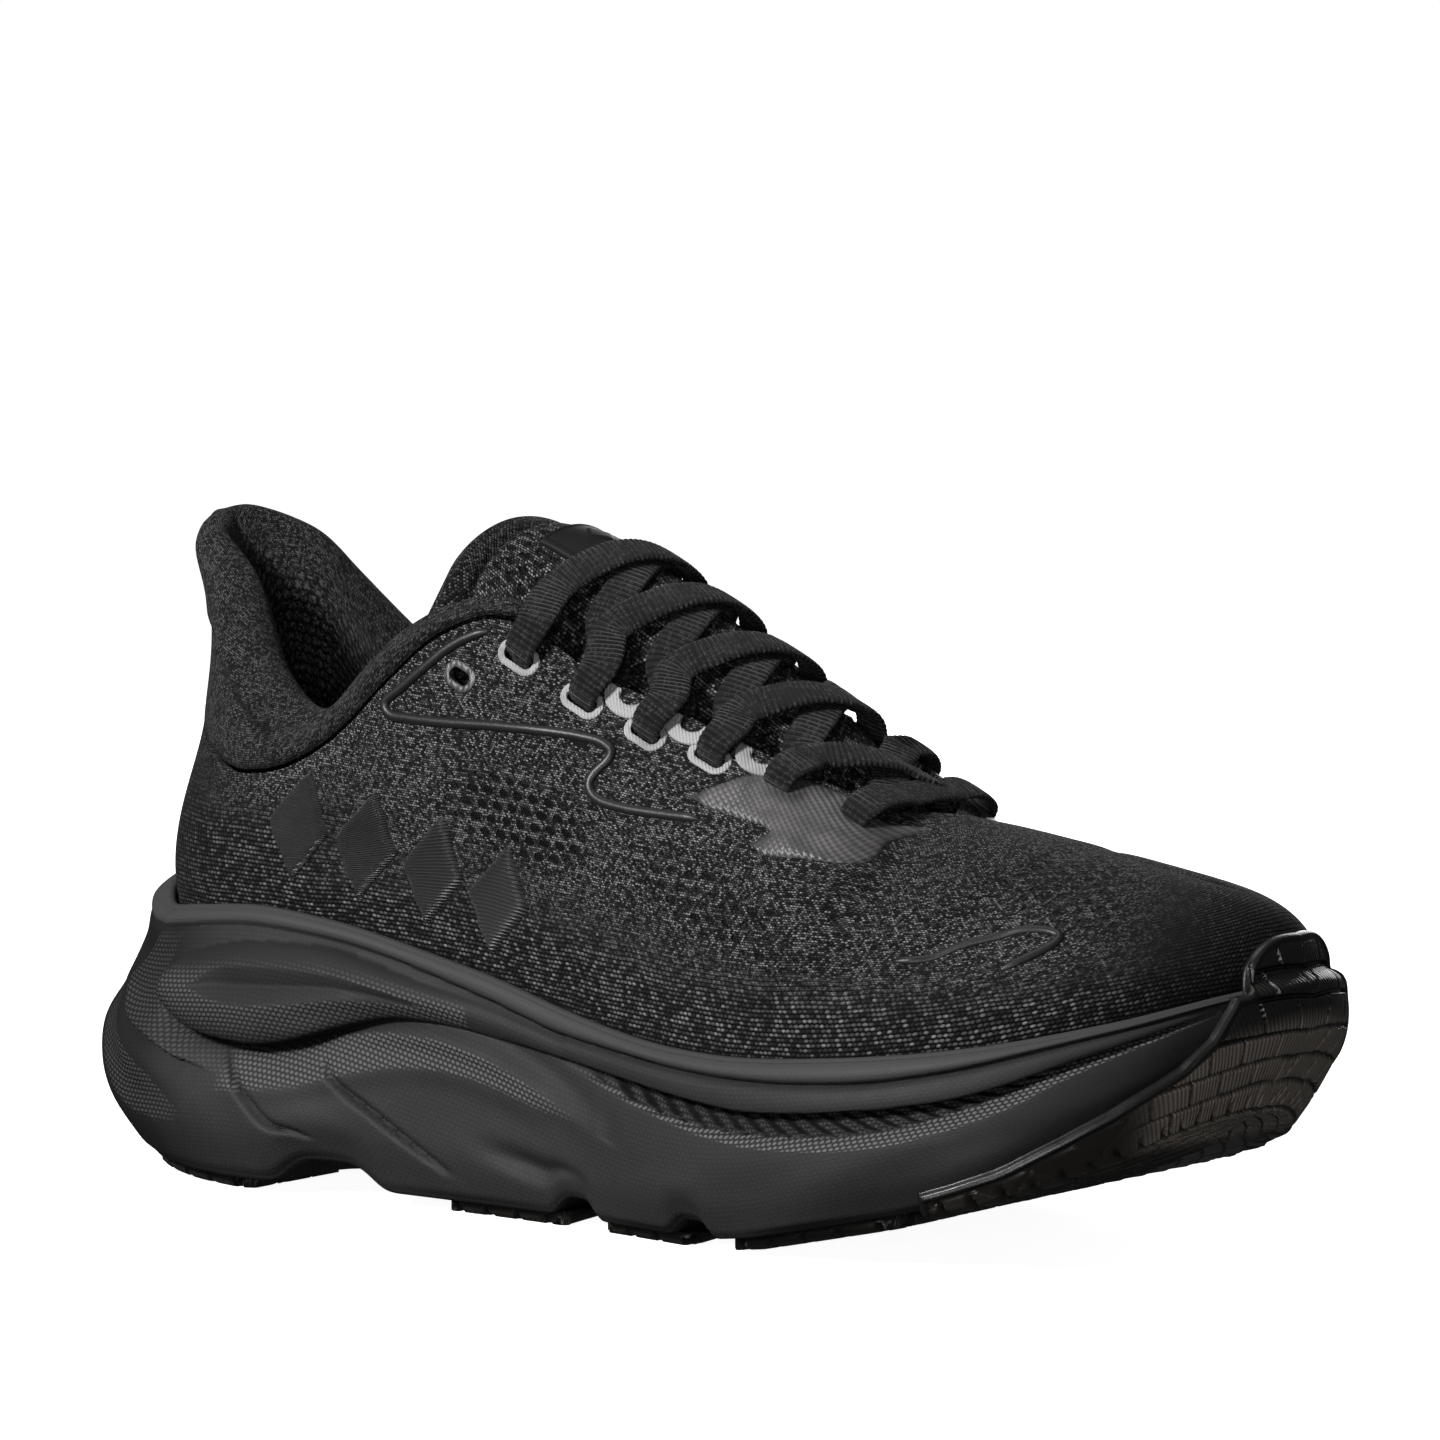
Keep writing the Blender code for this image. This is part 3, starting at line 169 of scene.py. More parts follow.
# Raised lines bonded to the upper, as x and z seen from the side
QUARTER_LINE = [(-31.5, 121), (-35, 120), (-40, 117.6), (-46, 113), (-52, 108.3), (-56, 105),
                (-55, 103.2), (-50, 102.4), (-40, 101.9), (-28, 101.7), (-15, 101.2), (-6, 100.4),
                (0.5, 98.9), (2.8, 97.3), (1.8, 95.4), (-0.8, 93), (-1.4, 90.5), (1.1, 88.3), (7, 86.8),
                (16.6, 85.9), (27.5, 85.2)]
TOE_LINE = [(80, 60.6), (86, 61.7), (91, 64.3), (97, 66.2), (102, 67.2), (106, 67.1), (109.5, 65.7),
            (108.3, 64.2), (104.8, 61.8), (101.5, 59.8)]
LINE_WIDTH = 2.0
# Satin-stitched diamonds on the quarter: x and z of each centre
DIAMONDS = [(-77, 78.5), (-58.5, 75.3), (-40, 71), (-21.5, 66.2)]
DIAMOND_HALF = (8.6, 12)
THROAT_WAY = Vector((0.9, 0, -0.436))   # along the row of eyelets, down towards the toe

RUBBER_PODS = {
    # name: from station, to station, from side to side (-1 lateral edge, 1 medial edge)
    "outsole_heel_lateral": (0.9, 2.95, -0.94, -0.12),
    "outsole_heel_medial": (0.9, 2.95, 0.12, 0.94),
    "outsole_midfoot_lateral_rear": (4.15, 4.95, -0.94, -0.3),
    "outsole_midfoot_lateral_front": (5.15, 5.85, -0.94, -0.25),
    "outsole_midfoot_medial": (4.7, 5.85, 0.3, 0.94),
    "outsole_forefoot_lateral": (6.05, 7.5, -0.94, -0.08),
    "outsole_forefoot_medial": (6.05, 7.5, 0.08, 0.94),
}
TOE_RUBBER_FROM = 7.7
TOE_RUBBER_TOP = [(7.7, 0.5), (8.2, 0.7), (8.6, 1.05), (9.1, 1.4), (9.5, 1.7), (9.75, 2.4), (9.95, 3.6),
                  (10.15, 5), (11.85, 5), (12.05, 3.6), (12.25, 2.4), (12.5, 1.7), (12.9, 1.4),
                  (13.4, 1.05), (13.8, 0.7), (14.3, 0.5)]

def cubic(knots, values, at, period=None):
    """A smooth curve through values at knots; each slope comes from the neighbours."""
    knots, values = np.asarray(knots, float), np.asarray(values, float)
    values = values.reshape(len(knots), -1)
    at = np.asarray(at, float)
    if period:
        at = np.mod(at - knots[0], period) + knots[0]
        knots = np.concatenate([knots[-1:] - period, knots, knots[:2] + period])
        values = np.concatenate([values[-1:], values, values[:2]])
    gap = np.diff(knots)[:, None]
    slope = np.diff(values, axis=0) / gap
    inner = (slope[:-1] * gap[1:] + slope[1:] * gap[:-1]) / (gap[:-1] + gap[1:])
    tangent = np.concatenate([slope[:1], inner, slope[-1:]])
    i = np.clip(np.searchsorted(knots, at, side="right") - 1, 0, len(knots) - 2)
    h = gap[i]
    t = np.clip((at - knots[i])[..., None] / h, 0, 1)
    made = (values[i] * (2 * t**3 - 3 * t**2 + 1) + tangent[i] * h * (t**3 - 2 * t**2 + t)
            + values[i + 1] * (3 * t**2 - 2 * t**3) + tangent[i + 1] * h * (t**3 - t**2))
    return made[..., 0] if made.shape[-1] == 1 else made


def read(table, stations):
    """A table at stations.  One that stops at the toe's tip is used for both sides."""
    rows = np.array(table, float)
    stations = np.asarray(stations, float)
    if rows[-1, 0] <= TIP:
        return cubic(rows[:, 0], rows[:, 1:], TIP - np.abs(np.mod(stations, ROUND) - TIP))
    return cubic(rows[:, 0], rows[:, 1:], stations, ROUND)


def side_sign(stations):
    return np.where(np.mod(stations, ROUND) > TIP, 1.0, -1.0)


def at_height(xy, z):
    return np.concatenate([xy, np.asarray(z)[..., None]], -1)


def feather(stations):
    return cubic(np.arange(ROUND), FEATHER, stations, ROUND)


def outward(stations):
    """The horizontal direction straight out of the shoe."""
    along = feather(np.asarray(stations) + 0.02) - feather(np.asarray(stations) - 0.02)
    along /= np.linalg.norm(along, axis=-1, keepdims=True)
    return np.stack([along[..., 1], -along[..., 0], 0 * along[..., 0]], -1)


def centre(x):
    return np.interp(x, *zip(*CENTRE))


def base_height(x):
    return np.interp(x, *zip(*BASE))


def floor_height(x):
    return cubic(*zip(*FLOOR), x)


def top_edge(stations):
    x, width, z = np.moveaxis(read(TOP, stations), -1, 0)
    lateral = TIP - np.abs(np.mod(stations, ROUND) - TIP)
    width = np.where(lateral >= THROAT_END - 1e-6, 0, np.maximum(width, 0))
    return np.stack([x, centre(x) + side_sign(stations) * width, z], -1)


def ridge(stations):
    x, width, z = np.moveaxis(read(RIDGE, stations)[..., :3], -1, 0)
    z = z + np.where(side_sign(stations) > 0, read(RIDGE_LIFT, stations), 0)
    return np.stack([x, centre(x) + side_sign(stations) * width, z], -1)


def upper(stations, share):
    """The upper's outer face: share 0 at the midsole's rim, 1 at the top edge, -1 at the foot bed."""
    stations, share = np.broadcast_arrays(np.asarray(stations, float), np.asarray(share, float))
    normal, up = outward(stations), np.array([0, 0, 1.0])
    low = at_height(feather(stations), read(RIM, stations))
    high = top_edge(stations)
    rise, out, fall, over = np.moveaxis(read(HANDLES, stations), -1, 0)[..., None]
    t = np.clip(share, 0, 1)[..., None]
    curve = (low * (1 - t)**3 + 3 * (low + up * rise + normal * out) * t * (1 - t)**2
             + 3 * (high - up * fall + normal * over) * t**2 * (1 - t) + high * t**3)
    below = np.clip(-share, 0, 1)[..., None]
    sunk = low - normal * 5 * below**2
    depth = (floor_height(sunk[..., 0]) + GAP)[..., None] - low[..., 2:]
    sunk = sunk + up * depth * below
    return np.where(share[..., None] < 0, sunk, curve)


def upper_normal(stations, share):
    """Straight out of the upper's face."""
    stations, share = np.broadcast_arrays(np.asarray(stations, float), np.asarray(share, float))
    here = np.clip(share, -0.98, 0.98)

    def one(at):
        along = upper(at + 0.03, here) - upper(at - 0.03, here)
        rise = upper(at, here + 0.02) - upper(at, here - 0.02)
        made = np.cross(along, rise)
        return made / np.linalg.norm(made, axis=-1, keepdims=True)

    made = one(stations)
    lateral = TIP - np.abs(np.mod(stations, ROUND) - TIP)
    seam = (share > 0.99) & (lateral >= THROAT_END - 1e-6)
    made = np.where(seam[..., None], made + one(ROUND - stations), made)
    return made / np.linalg.norm(made, axis=-1, keepdims=True)


def loft(sections, ring=False, cap=True):
    """Faces through closed sections of the same count."""
    sections = np.asarray(sections, float)
    count, size = sections.shape[:2]
    faces = []
    for i in range(count if ring else count - 1):
        for j in range(size):
            k = (j + 1) % size
            n = (i + 1) % count
            faces.append((i * size + j, i * size + k, n * size + k, n * size + j))
    if cap and not ring:
        faces.append(tuple(range(size))[::-1])
        faces.append(tuple((count - 1) * size + j for j in range(size)))
    return sections.reshape(-1, 3), faces


def patch(stations, shares):
    """Points, normals and faces of the upper's face over a grid of stations and shares."""
    s, t = np.meshgrid(stations, shares, indexing="ij")
    rows, size = s.shape
    faces = [(i * size + j, (i + 1) * size + j, (i + 1) * size + j + 1, i * size + j + 1)
             for i in range(rows - 1) for j in range(size - 1)]
    return upper(s, t).reshape(-1, 3), upper_normal(s, t).reshape(-1, 3), faces


def joined(*parts):
    points, normals, faces, count = [], [], [], 0
    for p, n, f in parts:
        points.append(p)
        normals.append(n)
        faces += [tuple(i + count for i in face) for face in f]
        count += len(p)
    return np.concatenate(points), np.concatenate(normals), faces


def both_sides(stations, shares):
    """A patch on each side of the shoe, which meet where the two sides of the upper do."""
    stations = np.asarray(stations, float)
    return joined(patch(stations, shares), patch((ROUND - stations)[::-1], shares))


def collar_path(s, depth):
    """The collar's face at a station, from its lower seam over the ridge and down inside the shoe."""
    normal = outward(np.array([s]))[0]
    up = np.array([0, 0, 1.0])
    _, _, _, bulge, pad = read(RIDGE, np.array([s]))[0]
    seam = top_edge(np.array([s]))[0] + up * 0.8
    high = ridge(np.array([s]))[0] - up * pad * 0.4
    points = [seam * (1 - u) + high * u + normal * bulge * 4 * u * (1 - u) for u in (0, 0.35, 0.7, 1)]
    middle = high - normal * pad / 2
    points += [middle + normal * pad / 2 * math.cos(a) + up * pad * 0.4 * math.sin(a)
               for a in np.radians((50, 90, 130, 180))]
    inner = points[-1]
    here = upper(s, 0.88) - normal * (pad + 2.4)
    points += [inner * (1 - u) + here * u - normal * 1.2 * u * (1 - u) for u in (0.5, 1)]
    for share, more in ((0.6, 3.2), (0.3, 1.6), (0, 1.35), (-0.55, 1.35)):
        if share >= depth:
            points.append(upper(s, share) - upper_normal(s, share) * (LINING_DEPTH + more))
    return np.array(points), normal


def inset_path(points, normal, distance):
    """The path moved into the pad by a distance."""
    along = np.gradient(points, axis=0)
    side = np.cross(normal, [0, 0, 1.0])
    way = np.cross(along, side)
    way /= np.linalg.norm(way, axis=1, keepdims=True)
    if way[0] @ normal > 0:
        way = -way
    return points + way * distance


def tongue_point(v, angle, lift=0.0):
    """A point on the tongue's outer face: v along it from 0 to 1, angle round it, lift straight out."""
    rows = np.array(TONGUE, float)
    at = np.linspace(0, 1, len(rows))

    def place(v, angle):
        x, z, _, half, drop = cubic(at, rows, np.array(v))
        ahead, behind = (cubic(at, rows[:, :2], np.clip(v + step, 0, 1)) for step in (0.01, -0.01))
        slope = ahead - behind
        slope /= np.linalg.norm(slope)
        down = np.array([slope[1], 0, -slope[0]]) * (-1 if slope[0] > 0 else 1)
        down = down if down[2] < 0 else -down
        middle = np.array([x, float(centre(x)) + half * math.sin(angle), z])
        return middle + down * drop * (1 - math.cos(angle))

    point = place(v, angle)
    if lift:
        around = place(v, angle + 0.02) - place(v, angle - 0.02)
        along = place(min(v + 0.02, 1), angle) - place(max(v - 0.02, 0), angle)
        normal = np.cross(around, along)
        normal /= np.linalg.norm(normal)
        point = point + (normal if normal[2] > 0 else -normal) * lift
    return point


class Skin:
    """The upper's face as one mesh, to lay small pieces on."""

    def __init__(self):
        points, _, faces = joined(both_sides(np.arange(0, 11.01, 0.25), np.linspace(0, 1, 25)))
        self.tree = BVHTree.FromPolygons([Vector(p) for p in points], faces)

    def near(self, point):
        """The nearest point of the face and the direction straight out of it."""
        place, normal, _, _ = self.tree.find_nearest(Vector(point))
        place, normal = np.array(place), np.array(normal)
        away = place - np.array([place[0], float(centre(place[0])), 70 if place[0] < 100 else 60])
        return place, normal if normal @ away > 0 else -normal

    def from_side(self, x, z, sign):
        """The point of the face seen from one side at x and z."""
        place, _, _, _ = self.tree.ray_cast(Vector((x, sign * 120, z)), Vector((0, -sign, 0)))
        return np.array(place if place is not None else self.near((x, sign * 30, z))[0])


def eyelet_frame(skin, index, side):
    """Centre, outward normal, way along the row and way to the throat of one lace hole."""
    x, y, z = EYELETS[index]
    place, normal = skin.near((x, -side * y, z))
    row = np.array(THROAT_WAY) - normal * (normal @ np.array(THROAT_WAY))
    row /= np.linalg.norm(row)
    inward = np.cross(normal, row)
    inward = inward if inward[1] * side < 0 else -inward
    return place, normal, row, inward


def tip_loops(side):
    """The moulded sleeve that carries on from the end of the lace, behind the upper."""
    sections = []
    for u in np.linspace(0, 1, 5):
        station, share = 5.2 + 0.05 * u, 0.325 - 0.18 * u
        station = station if side < 0 else ROUND - station
        normal = upper_normal(station, share)
        point = upper(station, share) - normal * 4.8
        down = upper(station, share - 0.05) - upper(station, share)
        across = np.cross(normal, down)
        across /= np.linalg.norm(across)
        narrow = 1 - 0.2 * u
        sections.append([point + across * AGLET_HALF_WIDTH * narrow * math.cos(a)
                         + normal * AGLET_HALF_THICK * narrow * math.sin(a)
                         for a in np.linspace(0, 2 * math.pi, 9)[:-1]])
    return sections


class Lace:
    """Half of the lace, from the middle of the lowest bar to one end: points, and where its face looks."""

    def __init__(self, skin, side):
        self.skin, self.path, self.ways = skin, [], []
        self.above = GAP + 0.6 + GAP + LACE_THICK / 2 + 0.5
        self.below = -(UPPER_THICK + GAP + LACE_THICK / 2 + 1.1)
        self.low, self.high = GAP + LACE_THICK / 2 + 0.2, GAP + LACE_THICK * 1.5 + 0.8
        frame = eyelet_frame(skin, 0, side)
        middle = tongue_v(EYELETS[0][0] + 1)
        for angle in (0, 0.12, 0.24):
            self.on_tongue(middle, angle * side, self.high + 0.8 + 3 * angle)
        self.onto(0, side)
        here = side
        for k in range(LACED - 1):
            self.turn(frame)
            over = (k + (side < 0)) % 2 == 0
            self.cross(k, here, over)
            here = -here
            frame = eyelet_frame(skin, k + 1, here)
        self.tail(frame, here)
        self.end_side = here

    def add(self, point, way):
        self.path.append(np.array(point))
        self.ways.append(np.array(way) / np.linalg.norm(way))

    def on_tongue(self, v, angle, lift):
        point = tongue_point(v, angle, lift)
        self.add(point, tongue_point(v, angle, lift + 1) - point)

    def onto(self, index, side, under=False):
        """Past the edge of the throat beside one hole, above it or under it."""
        place, _, _, inward = eyelet_frame(self.skin, index, side)
        stations = np.arange(4.6, THROAT_END, 0.02)
        stations = stations if side < 0 else ROUND - stations
        away = top_edge(stations) - place
        apart = away - (away @ inward)[:, None] * inward
        station = stations[np.linalg.norm(apart, axis=1).argmin()]
        normal = upper_normal(station, 1)
        edge = upper(station, 1)
        self.add(edge + normal * (self.below if under else self.above + 0.3), -normal if under else normal)

    def turn(self, frame, angles=(90, 60, 35, 10, -10, -35, -60, -90)):
        """Down through the hole and back under the strip between the hole and the throat."""
        place, normal, _, inward = frame
        middle, radius = (self.above + self.below) / 2, (self.above - self.below) / 2
        for a in np.radians(angles):
            across, high = 3.15 - radius * math.cos(a), middle + radius * math.sin(a)
            self.add(place + inward * across + normal * high, normal * math.sin(a) - inward * math.cos(a))

    def cross(self, index, here, over):
        """Over the tongue, from under the edge beside a hole to above the edge beside the next hole opposite.
        The lace's flat faces have turned over."""
        self.onto(index, here, under=True)
        middle = self.high if over else self.low
        for u, lift in ((-0.72, self.low), (-0.5, middle), (-0.25, middle), (0, middle), (0.25, middle),
                        (0.5, self.high), (0.74, self.high + 0.2)):
            x = EYELETS[index][0] * (1 - u) / 2 + EYELETS[index + 1][0] * (1 + u) / 2 + 2
            angle = THROAT_ANGLES[index if u < 0 else index + 1]
            if index == 0 and u < -0.4:
                lift += 0.7
            self.on_tongue(tongue_v(x), -u * angle * here, lift)
            self.ways[-1] *= -1
        self.onto(index + 1, -here)
        self.ways[-1] *= -1

    def tail(self, frame, here):
        """Through the top hole and down behind the upper."""
        place, normal, _, inward = frame
        self.turn(frame, (90, 60, 35))
        self.add(place + inward * 0.5 - normal * 1.0, normal * 0.2 - inward)
        self.add(place - inward * 1.0 - normal * 3.8, normal - inward * 0.8)
        self.add(place - inward * 4.0 - normal * 4.9, normal)
        for u in (0.4, 0.7, 1):
            station, share = 5.0 + 0.2 * u, 0.74 - 0.4 * u
            station = station if here < 0 else ROUND - station
            normal = upper_normal(station, share)
            self.add(upper(station, share) - normal * 4.8, normal)


def tongue_v(x):
    rows = np.array(TONGUE, float)
    return float(np.interp(-x, -rows[:, 0], np.linspace(0, 1, len(rows))))


# ------------------------------------------------------------------------------------------- shading
class Shade:
    """A Principled material and short ways to build its node tree."""

    def __init__(self, name, roughness=0.7, **sockets):
        self.material = bpy.data.materials.new(name)
        self.material.use_nodes = True
        self.tree = self.material.node_tree
        self.shader = self.tree.nodes["Principled BSDF"]
        self.set("Roughness", roughness)
        for key, value in sockets.items():
            self.set(key.replace("_", " "), value)

    def set(self, socket, value):
        target = self.shader.inputs[socket]
        if isinstance(value, bpy.types.NodeSocket):
            self.tree.links.new(value, target)
        elif isinstance(value, tuple) and len(value) == 3:
            target.default_value = (*value, 1)
        else:
            target.default_value = value

    def node(self, kind, inputs=(), **settings):
        made = self.tree.nodes.new(kind)
        for key, value in settings.items():
            setattr(made, key, value)
        for key, value in dict(inputs).items():
            if isinstance(value, bpy.types.NodeSocket):
                self.tree.links.new(value, made.inputs[key])
            else:
                made.inputs[key].default_value = value
        return made

    def m(self, operation, *values, clamp=False):
        made = self.node("ShaderNodeMath", operation=operation, use_clamp=clamp)
        for i, value in enumerate(values):
            if isinstance(value, bpy.types.NodeSocket):
                self.tree.links.new(value, made.inputs[i])
            else:
                made.inputs[i].default_value = value
        return made.outputs[0]

    def ramp(self, value, low, high):
        """0 at low, 1 at high, smooth between."""
        made = self.node("ShaderNodeMapRange", {"Value": value, "From Min": low, "From Max": high},
                         interpolation_type="SMOOTHSTEP")
        return made.outputs["Result"]

    def mix(self, share, a, b):
        made = self.node("ShaderNodeMix", data_type="RGBA")
        for index, value in ((0, share), (6, a), (7, b)):
            if isinstance(value, bpy.types.NodeSocket):
                self.tree.links.new(value, made.inputs[index])
            else:
                made.inputs[index].default_value = (*value, 1) if isinstance(value, tuple) else value
        return made.outputs[2]

    def lerp(self, share, a, b):
        return self.m("ADD", self.m("MULTIPLY", share, b), self.m("MULTIPLY", self.m("SUBTRACT", 1.0,
                                                                                     share), a))

    def cloth(self):
        """The piece's own coordinates over its surface, in millimetres."""
        split = self.node("ShaderNodeSeparateXYZ", {"Vector": self.node("ShaderNodeUVMap",
                                                                        uv_map="cloth").outputs[0]})
        return split.outputs[0], split.outputs[1]

    def noise(self, scale, detail=2.0, rough=0.5, vector=None):
        vector = vector or self.node("ShaderNodeTexCoord").outputs["Object"]
        made = self.node("ShaderNodeTexNoise", {"Vector": vector, "Scale": scale, "Detail": detail,
                                                "Roughness": rough})
        return made.outputs[0]

    def attribute(self, name):
        return self.node("ShaderNodeAttribute", attribute_name=name).outputs["Fac"]

    def bump(self, height, distance, strength=1.0):
        """height in 0 to 1, distance in metres."""
        made = self.node("ShaderNodeBump", {"Height": height, "Distance": distance, "Strength": strength})
        self.set("Normal", made.outputs[0])

    def cells(self, u, v, wide, high, shift=0.5):
        """Offset rows of cells: the place in a cell, -0.5 to 0.5 each way, and a random number per cell."""
        b = self.m("DIVIDE", v, high)
        row = self.m("FLOOR", b)
        a = self.m("ADD", self.m("DIVIDE", u, wide), self.m("MULTIPLY", row, shift))
        column = self.m("FLOOR", a)
        x = self.m("SUBTRACT", self.m("SUBTRACT", a, column), 0.5)
        y = self.m("SUBTRACT", self.m("SUBTRACT", b, row), 0.5)
        place = self.node("ShaderNodeCombineXYZ", {"X": column, "Y": row}).outputs[0]
        random = self.node("ShaderNodeTexWhiteNoise", {"Vector": place},
                           noise_dimensions="2D").outputs["Value"]
        return x, y, random

    def dome(self, x, y, wide=0.5, high=0.5):
        """1 in the middle of a cell, 0 outside an oval."""
        r = self.m("ADD", self.m("POWER", self.m("DIVIDE", self.m("ABSOLUTE", x), wide), 2.0),
                   self.m("POWER", self.m("DIVIDE", self.m("ABSOLUTE", y), high), 2.0))
        return self.m("SUBTRACT", 1.0, r, clamp=True)


def knit_shade(name, dark, mid, light, wide=0.95, high=0.8, fleck=2.2, openings=True, depth=0.00028,
               shift=0.5):
    s = Shade(name, 0.85, Specular_IOR_Level=0.08, Sheen_Weight=0.04, Sheen_Roughness=0.45)
    s.set("Sheen Tint", (0.75, 0.75, 0.78))
    u, v = s.cloth()
    warp = s.noise(260, 1.0)
    u = s.m("ADD", u, s.m("MULTIPLY", s.m("SUBTRACT", warp, 0.5), 0.9))
    drift = s.noise(70, 1.0)
    v = s.m("ADD", v, s.m("MULTIPLY", s.m("SUBTRACT", drift, 0.5), 1.2))
    x, y, random = s.cells(u, v, wide, high, shift)
    stitch = s.m("POWER", s.dome(x, y, 0.56, 0.5), 0.6)
    twill = s.attribute("twill")
    tx, ty, trandom = s.cells(u, v, 1.2, 0.95, 0.36)
    ribbed = s.m("POWER", s.dome(tx, ty, 0.54, 0.42), 0.55)
    body = s.lerp(twill, stitch, ribbed)
    chance = s.lerp(twill, random, s.m("ADD", s.m("MULTIPLY", trandom, 0.7), 0.12))
    patchy = s.m("MULTIPLY", s.m("SUBTRACT", s.noise(900, 2.0, 0.7), 0.5), 0.55)
    bright = s.m("MULTIPLY", s.m("POWER", s.m("ADD", chance, patchy, clamp=True), fleck),
                 s.m("POWER", body, 1.5))
    # Painted shade: the light flecks are muted where the upper's shade mask is set, towards the toe and the
    # heel.
    bright = s.m("MULTIPLY", bright, s.m("SUBTRACT", 1.0, s.m("MULTIPLY", s.attribute("painted_shade"), 0.85)))
    # Darker between the stitches than on them: painted shade in the gaps.
    colour = s.mix(body, dark, mid)
    colour = s.mix(bright, colour, light)
    height = body
    if openings:
        hx, hy, _ = s.cells(u, v, 4.3, 3.0)
        hole = s.m("MULTIPLY", s.ramp(s.dome(hx, hy, 0.36, 0.34), 0.0, 0.45), s.attribute("open"))
        # The openings are painted near black: the dark inside seen through them, and painted shade in them.
        colour = s.mix(hole, colour, tuple(c * 0.35 for c in dark))
        height = s.m("SUBTRACT", height, s.m("MULTIPLY", hole, 2.4))
    # The hollow mask: painted shade at seams and along the foot of the upper; on the tongue it also darkens
    # the top roll's own fabric.
    shadow = s.attribute("hollow")
    colour = s.mix(s.m("MULTIPLY", shadow, 0.75), colour, tuple(c * 0.5 for c in dark))
    s.set("Base Color", colour)
    s.bump(height, depth)
    return s.material


def foam_shade():
    s = Shade("foam_moulded", 0.6, Specular_IOR_Level=0.2)
    u, v = s.cloth()
    x, y, _ = s.cells(u, v, 1.35, 1.0)
    dot = s.ramp(s.dome(x, y, 0.5, 0.5), 0.1, 0.8)
    fine = s.noise(2600, 2.0, 0.6)
    dots = s.attribute("dots")
    rim = s.attribute("rim")
    base = s.mix(s.noise(60, 3.0), (0.016, 0.016, 0.0162), (0.023, 0.023, 0.0234))
    # Painted shade: darker at the heel end, in the pod, on the ribs, on the front's low band and under the
    # sole.
    base = s.mix(s.attribute("painted_shade"), base, (0.0055, 0.0055, 0.0056))
    # Painted highlight: lighter along the rim and its bead, where light from above falls.
    base = s.mix(rim, base, (0.04, 0.04, 0.0405))
    # Where shade is painted, the dots are painted darker too.
    base = s.mix(s.m("MULTIPLY", s.m("MULTIPLY", dot, dots), 0.8), base,
                 s.mix(s.attribute("painted_shade"), (0.13, 0.13, 0.133), (0.05, 0.05, 0.051)))
    dust = s.m("MULTIPLY", s.ramp(s.noise(420, 4.0, 0.75), 0.62, 0.8), 0.12)
    base = s.mix(dust, base, (0.13, 0.13, 0.13))
    # Painted shade: near black in the rib gaps, the creases, under the pod and in the crease below the rim.
    base = s.mix(s.attribute("gap"), base, (0.0012, 0.0012, 0.0012))
    s.set("Base Color", base)
    s.set("Roughness", s.m("ADD", 0.55, s.m("MULTIPLY", s.noise(240, 3.0), 0.16)))
    s.bump(s.m("ADD", s.m("MULTIPLY", fine, 0.35), s.m("MULTIPLY", dot, dots)), 0.00022)
    return s.material


def rubber_shade(name, base, warm_tone_and_underlight, ribs=1.2, gloss=0.44, depth=0.00016):
    """Rubber with fine slanted ribs between its grooves, painted shade in the grooves and between the ribs,
    and a lighter, warmer tone on what faces down: the rubber's own tone, and on the toe partly painted light
    from below.
    """
    s = Shade(name, gloss, Specular_IOR_Level=0.5)
    u, v = s.cloth()
    block = s.attribute("rib")
    wave = s.m("SINE", s.m("MULTIPLY", s.m("ADD", u, s.m("MULTIPLY", v, 0.35)), 2 * math.pi / ribs))
    ridge_high = s.m("MULTIPLY", s.m("POWER", s.m("MULTIPLY", s.m("ADD", wave, 1.0), 0.5), 0.6), block)
    grime = s.noise(180, 4.0, 0.6)
    colour = s.mix(grime, tuple(c * 0.75 for c in base), tuple(c * 1.3 for c in base))
    # Lighter and warmer where the down mask is set: the rubber's own tone, and on the toe partly painted
    # light from below.
    colour = s.mix(s.m("MULTIPLY", s.attribute("down"), s.m("ADD", 0.6, s.m("MULTIPLY", grime, 0.4))),
                   colour, warm_tone_and_underlight)
    # Painted shade: darker between the ribs.
    colour = s.mix(s.m("MULTIPLY", s.m("SUBTRACT", 1.0, ridge_high), 0.6), colour,
                   tuple(c * 0.3 for c in base))
    # Painted shade: much darker in the grooves.
    colour = s.mix(s.attribute("hollow"), colour, tuple(c * 0.15 for c in base))
    s.set("Base Color", colour)
    s.set("Roughness", s.m("ADD", gloss - 0.05, s.m("MULTIPLY", grime, 0.2)))
    s.bump(s.m("ADD", ridge_high, s.m("MULTIPLY", s.noise(1800, 2.0), 0.2)), depth)
    return s.material


def lace_shade():
    """Cross ribs, with fine threads along each rib."""
    s = Shade("lace_woven", 0.78, Specular_IOR_Level=0.2, Sheen_Weight=0.12, Sheen_Roughness=0.4)
    s.set("Sheen Tint", (0.75, 0.75, 0.78))
    u, v = s.cloth()
    wave = s.m("COSINE", s.m("MULTIPLY", u, 2 * math.pi / LACE_RIB))
    rib = s.m("POWER", s.m("MULTIPLY", s.m("ADD", wave, 1.0), 0.5), 0.7)
    x, y, random = s.cells(u, v, LACE_RIB, 0.42, 0.0)
    strand = s.dome(x, y, 0.8, 0.7)
    bright = s.m("MULTIPLY", s.m("MULTIPLY", s.ramp(random, 0.55, 1.0), strand), rib)
    # Painted shade: near black in the valleys between the ribs.
    colour = s.mix(rib, (0.001, 0.001, 0.001), (0.0075, 0.0072, 0.0073))
    colour = s.mix(s.m("MULTIPLY", bright, 0.85), colour, (0.07, 0.066, 0.067))
    s.set("Base Color", colour)
    s.bump(s.m("ADD", rib, s.m("MULTIPLY", strand, 0.3)), 0.0003)
    return s.material


